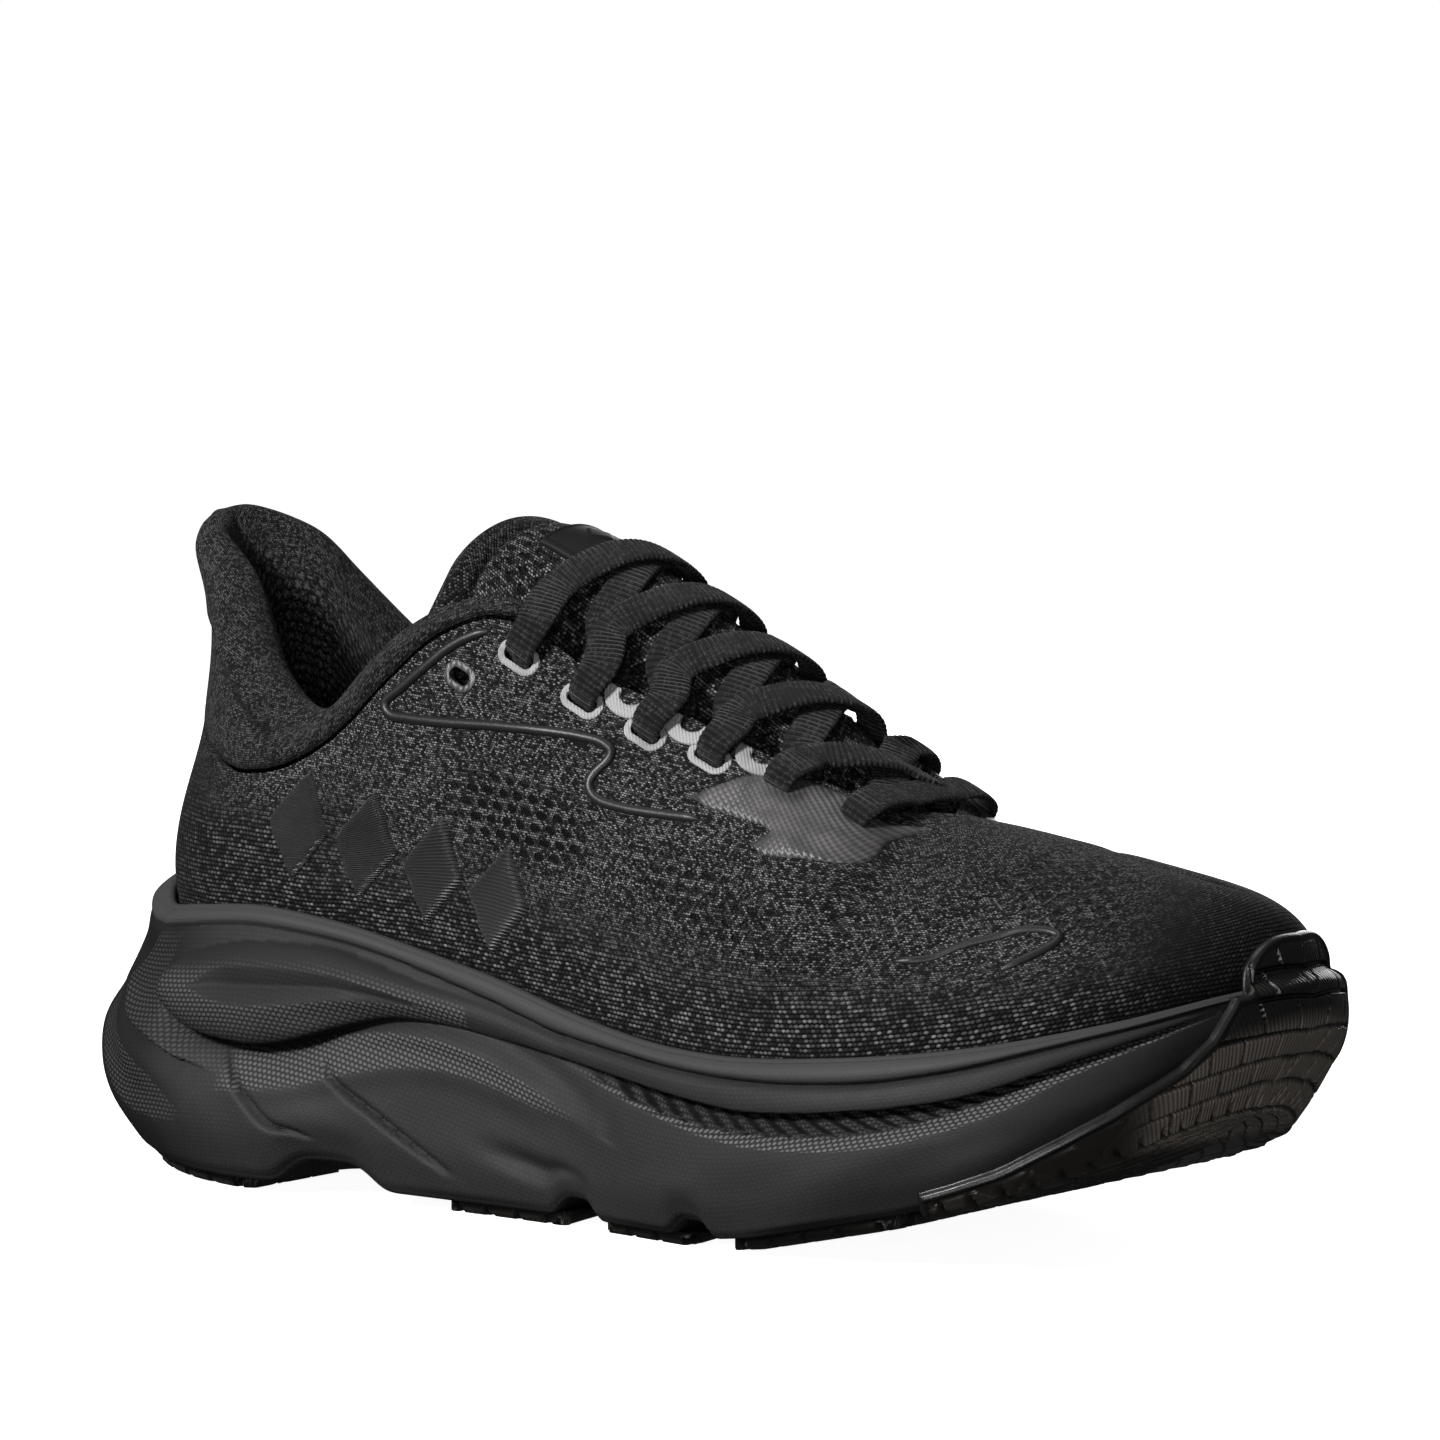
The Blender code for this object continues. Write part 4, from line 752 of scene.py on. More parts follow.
def film_shade(name, low, high, gloss=0.45, weave=1.5):
    """A thin bonded film with the fabric's diagonal ribs showing through."""
    s = Shade(name, gloss, Specular_IOR_Level=0.5)
    u, v = s.cloth()
    wave = s.m("SINE", s.m("MULTIPLY", s.m("ADD", u, v), 2 * math.pi / weave))
    cross = s.m("SINE", s.m("MULTIPLY", s.m("SUBTRACT", u, s.m("MULTIPLY", v, 0.8)),
                            2 * math.pi / (weave * 0.8)))
    rib = s.m("MULTIPLY", s.m("ADD", s.m("ADD", wave, s.m("MULTIPLY", cross, 0.5)), 1.5), 0.3333)
    colour = s.mix(rib, low, high)
    s.set("Base Color", s.mix(s.ramp(s.noise(150, 3.0), 0.35, 0.75), colour, tuple(c * 0.8 for c in low)))
    s.bump(rib, 0.00014)
    return s.material


def plain_shade(name, base, roughness, scale=900, depth=0.0001, spread=0.25, **more):
    s = Shade(name, roughness, **more)
    grain = s.noise(scale, 3.0, 0.6)
    s.set("Base Color", s.mix(grain, tuple(c * (1 - spread) for c in base),
                              tuple(c * (1 + spread) for c in base)))
    s.bump(grain, depth)
    return s.material


def satin_shade(name):
    """Satin stitching: fine threads laid side by side."""
    s = Shade(name, 0.42, Specular_IOR_Level=0.45, Sheen_Weight=0.1)
    _, v = s.cloth()
    thread = s.m("SINE", s.m("MULTIPLY", v, 2 * math.pi / 0.62))
    shine = s.m("MULTIPLY", s.m("ADD", thread, 1.0), 0.5)
    colour = s.mix(shine, (0.0025, 0.0025, 0.0026), (0.013, 0.013, 0.0132))
    s.set("Base Color", s.mix(s.m("MULTIPLY", s.noise(700, 2.0), 0.4), colour, (0.006, 0.006, 0.0062)))
    s.bump(shine, 0.0003)
    return s.material


# ------------------------------------------------------------------------------------------ geometry
def piece(name, points, faces, shade, cloth=None, weld=0.01, slot=None, stands_for=(), body="shoe",
          **masks):
    """A smooth closed mesh from points in millimetres, with surface coordinates and material masks."""
    points = np.asarray(points, float) + CENTRED
    mesh = bpy.data.meshes.new(name)
    mesh.from_pydata((points * MM).tolist(), [], [tuple(int(i) for i in f) for f in faces])
    mesh.update()
    corners = np.empty(len(mesh.loops), np.int32)
    mesh.loops.foreach_get("vertex_index", corners)
    layer_uv = mesh.uv_layers.new(name="cloth")
    cloth = np.zeros((len(points), 2)) if cloth is None else np.asarray(cloth, float).reshape(-1, 2)
    layer_uv.data.foreach_set("uv", cloth[corners].astype(np.float32).ravel())
    for key, values in masks.items():
        kept = mesh.attributes.new(key, "FLOAT", "POINT")
        kept.data.foreach_set("value", np.asarray(values, np.float32).ravel())
    work = bmesh.new()
    work.from_mesh(mesh)
    if weld:
        bmesh.ops.remove_doubles(work, verts=work.verts, dist=weld * MM)
        bmesh.ops.dissolve_degenerate(work, edges=work.edges, dist=0.002 * MM)
        bmesh.ops.delete(work, geom=[v for v in work.verts if not v.link_faces], context="VERTS")
    bmesh.ops.recalc_face_normals(work, faces=work.faces)
    if work.calc_volume(signed=True) < 0:
        bmesh.ops.reverse_faces(work, faces=work.faces)
    for face in work.faces:
        face.smooth = True
    work.to_mesh(mesh)
    work.free()
    mesh.materials.append(shade)
    made = bpy.data.objects.new(name, mesh)
    bpy.context.scene.collection.objects.link(made)
    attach(made, body)
    if stands_for:
        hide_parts(*stands_for)
    return made


def grid_faces(rows, columns, start=0, ring_rows=False, ring_columns=False, flip=False):
    i, j = np.meshgrid(np.arange(rows if ring_rows else rows - 1),
                       np.arange(columns if ring_columns else columns - 1), indexing="ij")
    i, j = i.ravel(), j.ravel()
    k, n = (i + 1) % rows, (j + 1) % columns
    made = np.stack([i * columns + j, k * columns + j, k * columns + n, i * columns + n], 1) + start
    return made[:, ::-1] if flip else made


def slab(outer, inner, ring=False):
    """Points and faces between two grids of the same shape, closed round the edges."""
    rows, columns = outer.shape[:2]
    count = rows * columns
    points = np.concatenate([outer.reshape(-1, 3), inner.reshape(-1, 3)])
    faces = [grid_faces(rows, columns, 0, ring), grid_faces(rows, columns, count, ring, flip=True)]
    for j, turn in ((0, False), (columns - 1, True)):
        a = np.arange(rows if ring else rows - 1)
        b = (a + 1) % rows
        side = np.stack([a * columns + j, a * columns + j + count, b * columns + j + count,
                         b * columns + j], 1)
        faces.append(side[:, ::-1] if turn else side)
    if not ring:
        for i, turn in ((0, True), (rows - 1, False)):
            a = np.arange(columns - 1) + i * columns
            side = np.stack([a, a + count, a + 1 + count, a + 1], 1)
            faces.append(side[:, ::-1] if turn else side)
    return points, np.concatenate(faces)


def bump_over(x, low, high):
    """A smooth hill from 0 at low to 0 at high."""
    t = np.clip((x - low) / (high - low), 0, 1)
    return np.sin(np.pi * t)**2


def rise(x, low, high):
    t = np.clip((x - low) / (high - low), 0, 1)
    return t * t * (3 - 2 * t)


def fold(stations):
    """The lateral station of a place on either side."""
    return TIP - np.abs(np.mod(stations, ROUND) - TIP)


def sole_wall(stations, level):
    """The midsole's outer wall before it is sculpted: level 0 at its rim, 1 at the ground side."""
    stations, level = np.broadcast_arrays(np.asarray(stations, float), np.asarray(level, float))
    outs = read(SIDE, stations)
    knots = np.array([0, *SIDE_LEVELS])
    values = np.concatenate([np.full(outs.shape[:-1] + (1,), 2.6), outs], -1)
    gap = np.diff(knots)
    slope = np.diff(values, axis=-1) / gap
    inner = (slope[..., :-1] * gap[1:] + slope[..., 1:] * gap[:-1]) / (gap[:-1] + gap[1:])
    tangent = np.concatenate([slope[..., :1], inner, slope[..., -1:]], -1)
    i = np.clip(np.searchsorted(knots, level, side="right") - 1, 0, len(knots) - 2)
    h = gap[i]
    t = np.clip((level - knots[i]) / h, 0, 1)

    def pick(table, index):
        return np.take_along_axis(table, index[..., None], -1)[..., 0]

    out = (pick(values, i) * (2 * t**3 - 3 * t**2 + 1) + pick(tangent, i) * h * (t**3 - 2 * t**2 + t)
           + pick(values, i + 1) * (3 * t**2 - 2 * t**3) + pick(tangent, i + 1) * h * (t**3 - t**2))
    rim = read(RIM, stations)
    point = at_height(feather(stations), rim) + outward(stations) * out[..., None]
    ground = base_height(point[..., 0]) + RUBBER_THICK + 0.5
    point[..., 2] = rim + (ground - rim) * level
    return point


def away(u, v, path):
    """Distance to a line in the plane, which side of it, and how far along it, for many points."""
    path = np.asarray(path, float)
    best = np.full(u.shape, 1e9)
    side, along = np.zeros(u.shape), np.zeros(u.shape)
    lengths = np.linalg.norm(np.diff(path, axis=0), axis=1)
    for k in range(len(path) - 1):
        a, d = path[k], path[k + 1] - path[k]
        t = np.clip(((u - a[0]) * d[0] + (v - a[1]) * d[1]) / (d @ d), 0, 1)
        x, y = u - a[0] - d[0] * t, v - a[1] - d[1] * t
        apart = np.hypot(x, y)
        closer = apart < best
        best = np.where(closer, apart, best)
        side = np.where(closer, np.sign(d[0] * y - d[1] * x), side)
        along = np.where(closer, (lengths[:k].sum() + lengths[k] * t) / lengths.sum(), along)
    return best, side, along


def smooth_path(path, step=0.6):
    path = np.asarray(path, float)
    knots = np.concatenate([[0], np.cumsum(np.linalg.norm(np.diff(path, axis=0), axis=1))])
    return cubic(knots, path, np.linspace(0, knots[-1], max(3, int(knots[-1] / step))))


# --------------------------------------------------------------------------------------- the midsole
# Lines over the sole's side, as station and level.
RIM_EDGE = [(0, 0.09), (1, 0.08), (2, 0.07), (3, 0.06), (4, 0.065), (4.5, 0.09), (4.9, 0.105), (5.4, 0.085),
            (6.2, 0.1),
            (6.8, 0.13), (7.3, 0.14), (7.9, 0.115), (8.5, 0.07), (9.2, 0.045), (11, 0.03)]
POD_TOP = [(2.05, 0.29), (2.1, 0.235), (2.25, 0.18), (2.5, 0.15), (2.8, 0.125), (3.1, 0.11), (3.5, 0.09),
           (3.8, 0.1),
           (4.1, 0.115), (4.5, 0.12), (5, 0.125)]
POD_LOW = [(2.05, 0.3), (2.1, 0.34), (2.25, 0.4), (2.45, 0.45), (2.7, 0.48), (3.1, 0.49), (3.35, 0.45),
           (3.6, 0.38),
           (3.9, 0.3), (4.2, 0.265), (4.6, 0.25), (4.9, 0.225), (5.4, 0.215), (5.9, 0.24), (6.35, 0.28),
           (6.75, 0.3),
           (7.2, 0.31), (7.6, 0.31), (8, 0.295), (8.3, 0.26), (8.65, 0.21), (9.2, 0.16), (9.9, 0.11)]
DISH = [(2.5, 0.29), (2.7, 0.225), (3, 0.205), (3.3, 0.19), (3.6, 0.18), (3.95, 0.19), (4.15, 0.205),
        (3.85, 0.24),
        (3.55, 0.28), (3.3, 0.32), (3.05, 0.345), (2.75, 0.34), (2.5, 0.29)]
CREST = [(3.3, 0.46), (3.6, 0.405), (3.9, 0.355), (4.25, 0.33), (4.45, 0.34), (4.65, 0.37), (4.85, 0.415),
         (5.1, 0.49), (5.25, 0.53)]
CREST_LOW = [(2.7, 0.68), (3.1, 0.65), (3.35, 0.62), (3.65, 0.55), (3.95, 0.485), (4.3, 0.45), (4.55, 0.46),
             (4.8, 0.49), (5.1, 0.52)]
LEAF_LOW = [(4.9, 0.235), (5.25, 0.275), (5.55, 0.325), (5.9, 0.365), (6.25, 0.4), (6.75, 0.44),
            (7.2, 0.46),
            (7.6, 0.44), (8, 0.385), (8.3, 0.33), (8.65, 0.25), (9, 0.2), (9.4, 0.165), (9.9, 0.13)]
DOTS_LOW = [(4.9, 0.25), (5.5, 0.33), (5.8, 0.38), (6.1, 0.43), (6.4, 0.475), (6.8, 0.52), (7.2, 0.55),
            (7.5, 0.545),
            (8, 0.485), (8.3, 0.43), (8.65, 0.325), (9, 0.26), (9.4, 0.215), (9.9, 0.19)]
WING = [(1.85, 0.05), (1.78, 0.13), (1.64, 0.22), (1.46, 0.33), (1.55, 0.4), (1.75, 0.45), (2.05, 0.5),
        (2.28, 0.55),
        (2.5, 0.58)]
TAIL = [(0.9, 0.4), (1.1, 0.5), (1.4, 0.6), (1.75, 0.68), (2.1, 0.74), (2.45, 0.79)]
GROOVES = [
    [(2.76, 0.5), (2.8, 0.55), (2.88, 0.61), (3.02, 0.69), (3.15, 0.76), (3.28, 0.82), (3.42, 0.88)],
    [(3.5, 0.53), (3.62, 0.6), (3.82, 0.68), (4, 0.75), (4.18, 0.82), (4.3, 0.87)],
]
RIB_PITCH = 0.165
# Gaps in the ground side: station, half length, height
ARCHES = [(3.5, 0.28, 5.5), (5.05, 0.13, 4), (5.92, 0.13, 3.5)]


def wall_plane(stations, level):
    """The wall rolled flat: along it and down from the rim, in millimetres."""
    dense = np.linspace(0, ROUND, 881)
    line = sole_wall(dense, np.full(dense.shape, 0.35))
    along = np.concatenate([[0], np.cumsum(np.linalg.norm(np.diff(line[:, :2], axis=0), axis=1))])
    half = np.interp(fold(stations), dense, along)
    height = read(RIM, stations) - 3
    return half, level * height, height


def on_plane(path):
    path = np.asarray(path, float)
    u, v, _ = wall_plane(path[:, 0], path[:, 1])
    return smooth_path(np.stack([u, v], 1), 1.5)


def sculpt(stations, level):
    """How far the wall moves out, the share of dots, the share of the rim's painted highlight, the painted
    shade and the painted near-black gaps, at each place.
    """
    s, l = fold(stations), level
    u, v, height = wall_plane(stations, level)

    def line(table, at=None):
        return cubic(*zip(*table), s if at is None else at)

    out = np.zeros(s.shape)
    dots = np.full(s.shape, 0.05)
    rim_edge, low = line(RIM_EDGE), line(POD_LOW)
    # bead along the rim, and the crease under it
    bead = np.clip(l / rim_edge, 0, 1)
    out += 1.0 * np.sin(np.pi * np.clip(bead, 0, 1))**0.7 * (l <= rim_edge)
    past = (l - rim_edge) * height
    out -= 0.9 * np.exp(-(past / 1.3)**2) * (past > 0) * rise(s, 1.2, 2.2)
    # The rim's share: the foam is coloured lighter there, a painted highlight.
    rim = 1 - rise(l, rim_edge * 0.85, rim_edge * 1.1)
    # the pod at the heel, which runs on as the upper band
    top = np.where(s < 5, line(POD_TOP, np.clip(s, 2.05, 5)), rim_edge)
    q = np.clip((l - top) / np.maximum(low - top, 0.02), 0, 1)
    inside = (l > top) & (l < low) & (s > 2.05) & (s < 9.9)
    swell = 3.8 * (1 - rise(s, 3.4, 5.0)) + 1.0 * (1 - rise(s, 8.6, 9.9))
    profile = np.sin(np.pi * np.clip(q, 0, 1)**1.15)**0.55
    out += np.where(inside, swell * profile * rise(s, 2.03, 2.22), 0)
    ring, _, _ = away(u, v, on_plane(DISH))
    dish = closed_mask(s, l, DISH)
    out -= dish * np.minimum(2.2, ring * 0.5)
    dots = np.where(inside & (dish < 0.5) & (s < 4.4), 0.75 * np.sin(np.pi * q)**0.5 * rise(q, 0.1, 0.4),
                    dots)
    # the dark step under the pod and the band
    under = (l - low) * height
    deep = 5.2 * (1 - rise(s, 3.1, 4.3)) + 1.5 * rise(s, 4.6, 5.2) * (1 - rise(s, 9.0, 9.9)) + 0.5
    out -= np.where((under > 0) & (s > 2.05) & (s < 9.9), deep * np.exp(-under / 3.6) * rise(s, 2.03, 2.3),
                    0)
    # a valley, then the crest that carries the dots at the middle
    crest, crest_side, crest_at = away(u, v, on_plane(CREST))
    fade = np.sin(np.pi * np.clip(crest_at, 0.02, 0.98))**0.5
    out += 1.3 * fade * np.exp(-(crest / 2.6)**2)
    out -= 1.2 * fade * np.exp(-((crest - 4.5) / 3.0)**2) * (crest_side < 0)
    crest_low = line(CREST_LOW, np.clip(s, 2.7, 5.1))
    crest_top = np.where(s < 3.3, low, line(CREST, np.clip(s, 3.3, 5.25)))
    band = (s > 2.75) & (s < 5.2) & (l > crest_top) & (l < crest_low)
    dots = np.where(band, 0.8 * rise(5.2 - s, 0, 0.5) * rise(s, 2.7, 2.9), dots)
    out += np.where((s > 2.7) & (s < 5.1),
                    0.9 * np.exp(-((l - crest_low) * height / 3.0)**2) * rise(s, 2.7, 3.2)
                    * rise(5.1 - s, 0, 0.4), 0)
    # ribs and the bright dotted chamfer of the front half
    leaf, chamfer = line(LEAF_LOW, np.clip(s, 4.9, 9.9)), line(DOTS_LOW, np.clip(s, 4.9, 9.9))
    front = rise(s, 4.9, 5.5) * (1 - rise(s, 9.2, 9.9))
    slope = np.clip((l - low) / np.maximum(chamfer - low, 0.02), 0, 1)
    ramp = -2.0 * (1 - slope) + 1.1 * rise(slope, 0.4, 1)
    out += np.where((l > low) & (l < chamfer), ramp * front, 0)
    out += np.where(l >= chamfer, 1.1 * front * (1 - rise(l, chamfer, 1.0)), 0)
    phase = np.mod((s - 2.4 * (l - low)) / RIB_PITCH, 1)
    tooth = np.where(phase < 0.78, phase / 0.78, (1 - phase) / 0.22)
    ribs = (l > low) & (l < leaf)
    ribbed = (tooth - 0.6) * 1.5 * front * rise(l, low, low + 0.03) * (1 - rise(l, leaf - 0.015, leaf))
    out += np.where(ribs, ribbed, 0)
    dots = np.where(ribs, 0.5 * front * (phase < 0.66) + dots * (1 - front), dots)
    dots = np.where((l >= leaf) & (l < chamfer) & (s > 5), 1.0 * front, dots)
    out -= 0.5 * front * np.exp(-(np.abs(l - leaf) * height / 0.5)**2)
    # the wings behind the pod
    wing, wing_side, wing_at = away(u, v, on_plane(WING))
    ends = np.sin(np.pi * np.clip(wing_at, 0.015, 0.985))**0.4
    out += np.where(wing_side < 0, 1.5 * np.exp(-(wing / 3.5)**2), -1.8 * np.exp(-(wing / 4.2)**2)) * ends
    dots = np.where((wing_side < 0) & (wing < 9) & (s < 3) & ~inside & (l > 0.1), 0.7 * ends, dots)
    tail, _, tail_at = away(u, v, on_plane(TAIL))
    hollow = np.sin(np.pi * np.clip(tail_at, 0, 1))**0.6
    out -= 1.5 * hollow * np.exp(-(tail / 4.5)**2)
    dots = np.where(tail < 5.5 * hollow, 0.8 * hollow, dots)
    # diagonal creases, with painted shade along them
    painted_crease_shade = np.zeros(s.shape)
    for path in GROOVES:
        crease, crease_side, crease_at = away(u, v, on_plane(path))
        ends = np.sin(np.pi * np.clip(crease_at, 0.03, 0.97))**0.35
        out -= 2.3 * ends * np.exp(-(crease / 0.7)**2)
        painted_crease_shade = np.maximum(painted_crease_shade, 0.9 * ends * np.exp(-(crease / 0.6)**2))
        out += 0.5 * ends * np.exp(-(crease / 5)**2) * (crease_side > 0)
    # a dimple in front of the middle, and low waves along the ground side
    out -= 2.4 * np.exp(-((s - 4.8 - 2 * (l - 0.78)) / 0.2)**2 - ((l - 0.78) / 0.07)**2)
    out += 0.5 * np.sin(s * 5.2 + l * 4) * rise(l, 0.55, 0.75) * (1 - rise(s, 8, 9)) * rise(s, 2.6, 3.2)
    # Painted shade: darker colour at the heel end, inside the pod, on the ribs and on the front's low band.
    painted_shade = np.maximum.reduce([0.9 * (1 - rise(s, 1.9, 2.8)), 0.5 * inside * (1 - rise(s, 3.6, 4.6)),
                             0.75 * ribs * front,
                             0.65 * rise(s, 6.5, 8.5) * (l > chamfer)])
    # Painted shade: near black in the rib gaps, along the creases, under the pod and in the crease below the
    # rim.
    gap = np.maximum.reduce([0.95 * (phase > 0.7) * ribs * front, painted_crease_shade,
                             0.9 * np.where((under > -0.6) & (s > 2.05),
                                            np.exp(-(np.maximum(under, 0) / 2.2)**2), 0)
                             * (1 - rise(s, 3.3, 4.3)) * rise(s, 2.05, 2.3),
                             0.7 * np.exp(-(past / 0.9)**2) * rise(s, 2.5, 5)])
    return out, np.clip(dots, 0, 1), rim, painted_shade, gap


def closed_mask(u, v, path):
    """1 inside a closed outline, 0 outside it."""
    path = np.asarray(path, float)
    inside = np.zeros(u.shape, bool)
    for (a, b), (c, d) in zip(path[:-1], path[1:]):
        crossing = ((b > v) != (d > v)) & (u < (c - a) * (v - b) / (d - b + 1e-12) + a)
        inside ^= crossing
    return inside.astype(float)


def arch(stations):
    """How far the ground side rises between the rubber pieces, at the sole's edge."""
    s = fold(stations)
    return sum(high * np.exp(-((s - at) / half)**4) for at, half, high in ARCHES)


def make_midsole(shade):
    s = np.linspace(0, ROUND, 881)[:-1]
    levels = np.concatenate([np.linspace(0.0, 0.16, 18)[:-1], np.linspace(0.16, 0.62, 62)[:-1],
                             np.linspace(0.62, 1, 30)])
    S, L = np.meshgrid(s, levels, indexing="ij")
    wall = sole_wall(S, L)
    out, dots, rim, painted_shade, gap = sculpt(S, L)
    turned = rise(1 - L, 0.0, 0.05)
    wall += outward(S) * (out * np.maximum(turned, 0.3) - 1.2 * (1 - turned))[..., None]
    wall[..., 2] += arch(S) * rise(L, 0.62, 1.0)
    normal = outward(s)
    top = upper(s, 0)
    angles = np.radians(np.linspace(185, 15, 9))
    bead = (top[:, None] + normal[:, None] * (1.75 + 1.25 * np.cos(angles))[None, :, None]
            + np.array([0, 0, 1.0]) * (-0.7 + 1.15 * np.sin(angles))[None, :, None])
    inner = np.stack([upper(s, share) + normal * 0.55 for share in (-1, -0.7, -0.4, -0.15)], 1)
    inner[:, 0, 2] -= GAP
    edge = wall[:, -1]
    ways = np.linspace(0, 1, 16)[1:]
    facing = np.roll(edge[::-1], 1, axis=0)
    middle = (edge + facing) / 2
    under = edge[:, None] * (1 - ways)[None, :, None] + middle[:, None] * ways[None, :, None]
    ground = base_height(under[..., 0]) + RUBBER_THICK + 0.5
    under[..., 2] = ground + arch(s)[:, None] * (1 - rise(ways, 0.1, 0.7)) + 1.6 * rise(ways, 0.86, 1.0)
    bed = inner[:, 0]
    bed_middle = (bed + np.roll(bed[::-1], 1, axis=0)) / 2
    floor = bed_middle[:, None] * (1 - ways)[None, :, None] + bed[:, None] * ways[None, :, None]
    floor[..., 2] = floor_height(floor[..., 0])
    rows = np.concatenate([floor, inner[:, 1:], bead, wall[:, 1:], under], 1)
    count = [floor.shape[1], inner.shape[1] - 1, bead.shape[1], wall.shape[1] - 1, under.shape[1]]
    u, v, _ = wall_plane(S, L)
    first = sum(count[:3])
    cloth = np.zeros(rows.shape[:2] + (2,))
    cloth[..., 0] = u[:, :1]
    cloth[:, first:first + count[3]] = np.stack([u, v], -1)[:, 1:]
    cloth[:, first + count[3]:, 1] = v[:, -1:] + np.linalg.norm(under - edge[:, None], axis=-1)
    fields = {}
    # Passed to the shader: the rim's share is a painted highlight on the rim and its bead; the darkening mask
    # is painted shade, also under the sole; gap is painted near-black shade.
    for key, field, before, after in (("dots", dots, 0.1, 0.25), ("rim", rim, 1.0, 0.0),
                                      ("painted_shade", painted_shade, 0.0, 0.6),
                                      ("gap", gap, 0.0, 0.0)):
        made = np.full(rows.shape[:2], before)
        made[:, first:first + count[3]] = field[:, 1:]
        made[:, first + count[3]:] = after
        fields[key] = made
    fields["rim"][:, :count[0]] = 0
    return piece("midsole_sculpted", rows.reshape(-1, 3), grid_faces(len(s), rows.shape[1], ring_rows=True),
                 shade,
                 cloth, slot="foam", stands_for=["midsole_foam"], **fields)


# ----------------------------------------------------------------------------------------- the upper
def blob(x, z, at_x, at_z, wide, high, lean=0.0):
    """1 in the middle of a leaning oval, fading to 0 outside it."""
    dx, dz = x - at_x, z - at_z
    dz = dz - dx * lean
    return 1 - rise(np.hypot(dx / wide, dz / high), 0.55, 1.15)


def relief(stations, shares, points):
    """Low waves of the knit: arcs round the base of the throat, a dent and a crease in the toe box, and two
    low swellings along the side.
    """
    x, z = points[..., 0], points[..., 2]
    s = fold(stations)
    ring = np.hypot((x - 78) * 0.8, (z - 96) * 1.5)
    arcs = np.sin(ring * 2 * np.pi / 7.5) * blob(x, z, 48, 66, 40, 22)
    ease = rise(shares, 0.02, 0.12) * (1 - rise(shares, 0.9, 1.0) * (s < THROAT_END))
    dent = -0.9 * blob(x, z, 92, 66, 9, 9) + 0.7 * blob(x, z, 30, 74, 26, 12) + 0.5 * blob(x, z, -62, 88,
                                                                                           30, 12)
    crease = -0.7 * np.exp(-((x - 88 - (z - 66) * 0.5) / 3.2)**2) * (s > 7.2) * (s < 9)
    return (arcs * 0.3 + dent + crease * 0.6) * np.clip(ease, 0, 1)


def upper_masks(stations, shares, points):
    x, z = points[..., 0], points[..., 2]
    s = fold(stations)
    opened = np.maximum.reduce([
        blob(x, z, -17, 83, 24, 11, -0.25), blob(x, z, 38, 68, 30, 8, -0.35) * 0.8,
        blob(x, z, 104, 73, 16, 6, -0.3) * 0.7, 0.5 * blob(x, z, 70, 68, 14, 7, -0.3)])
    twill = np.maximum.reduce([1 - rise(shares, 0.1, 0.4),
                               (1 - rise(s, 3.0, 4.2)) * (1 - rise(shares, 0.5, 0.95)),
                               rise(s, 8.8, 10.2)])
    # Painted shade: the knit's light flecks are muted towards the toe and the heel, and a little near the top
    # of the vamp.
    painted_shade = np.maximum(rise(s, 8.3, 9.6) * (1 - 0.7 * rise(shares, 0.35, 1)), 0.85 * (1 - rise(s, 1.5, 3.4)))
    painted_shade = np.maximum(painted_shade, 0.3 * rise(s, 6.2, 7) * rise(shares, 0.35, 0.7))
    return dict(open=np.clip(opened, 0, 1), twill=np.clip(twill, 0, 1) * (1 - opened), painted_shade=painted_shade,
                # hollow: painted shade along the foot of the upper, where it meets the midsole.
                hollow=1 - rise(shares, 0.0, 0.035))


def cloth_of(stations, points):
    """Distances over the upper, along it and up from the rim, in millimetres."""
    along = feather(stations[:, 0])
    steps = np.concatenate([[0], np.cumsum(np.linalg.norm(np.diff(along, axis=0), axis=1))])
    up = np.concatenate([np.zeros((len(stations), 1)),
                         np.cumsum(np.linalg.norm(np.diff(points, axis=1), axis=-1), axis=1)], 1)
    return np.stack([np.broadcast_to(steps[:, None], up.shape), up], -1)


def upper_face(stations, shares, lift=0.0):
    """A place on the finished upper, and the way straight out of it."""
    place, normal = upper(stations, shares), upper_normal(stations, shares)
    return place + normal * (relief(np.asarray(stations, float), np.asarray(shares, float),
                                    place)[..., None] + lift), normal


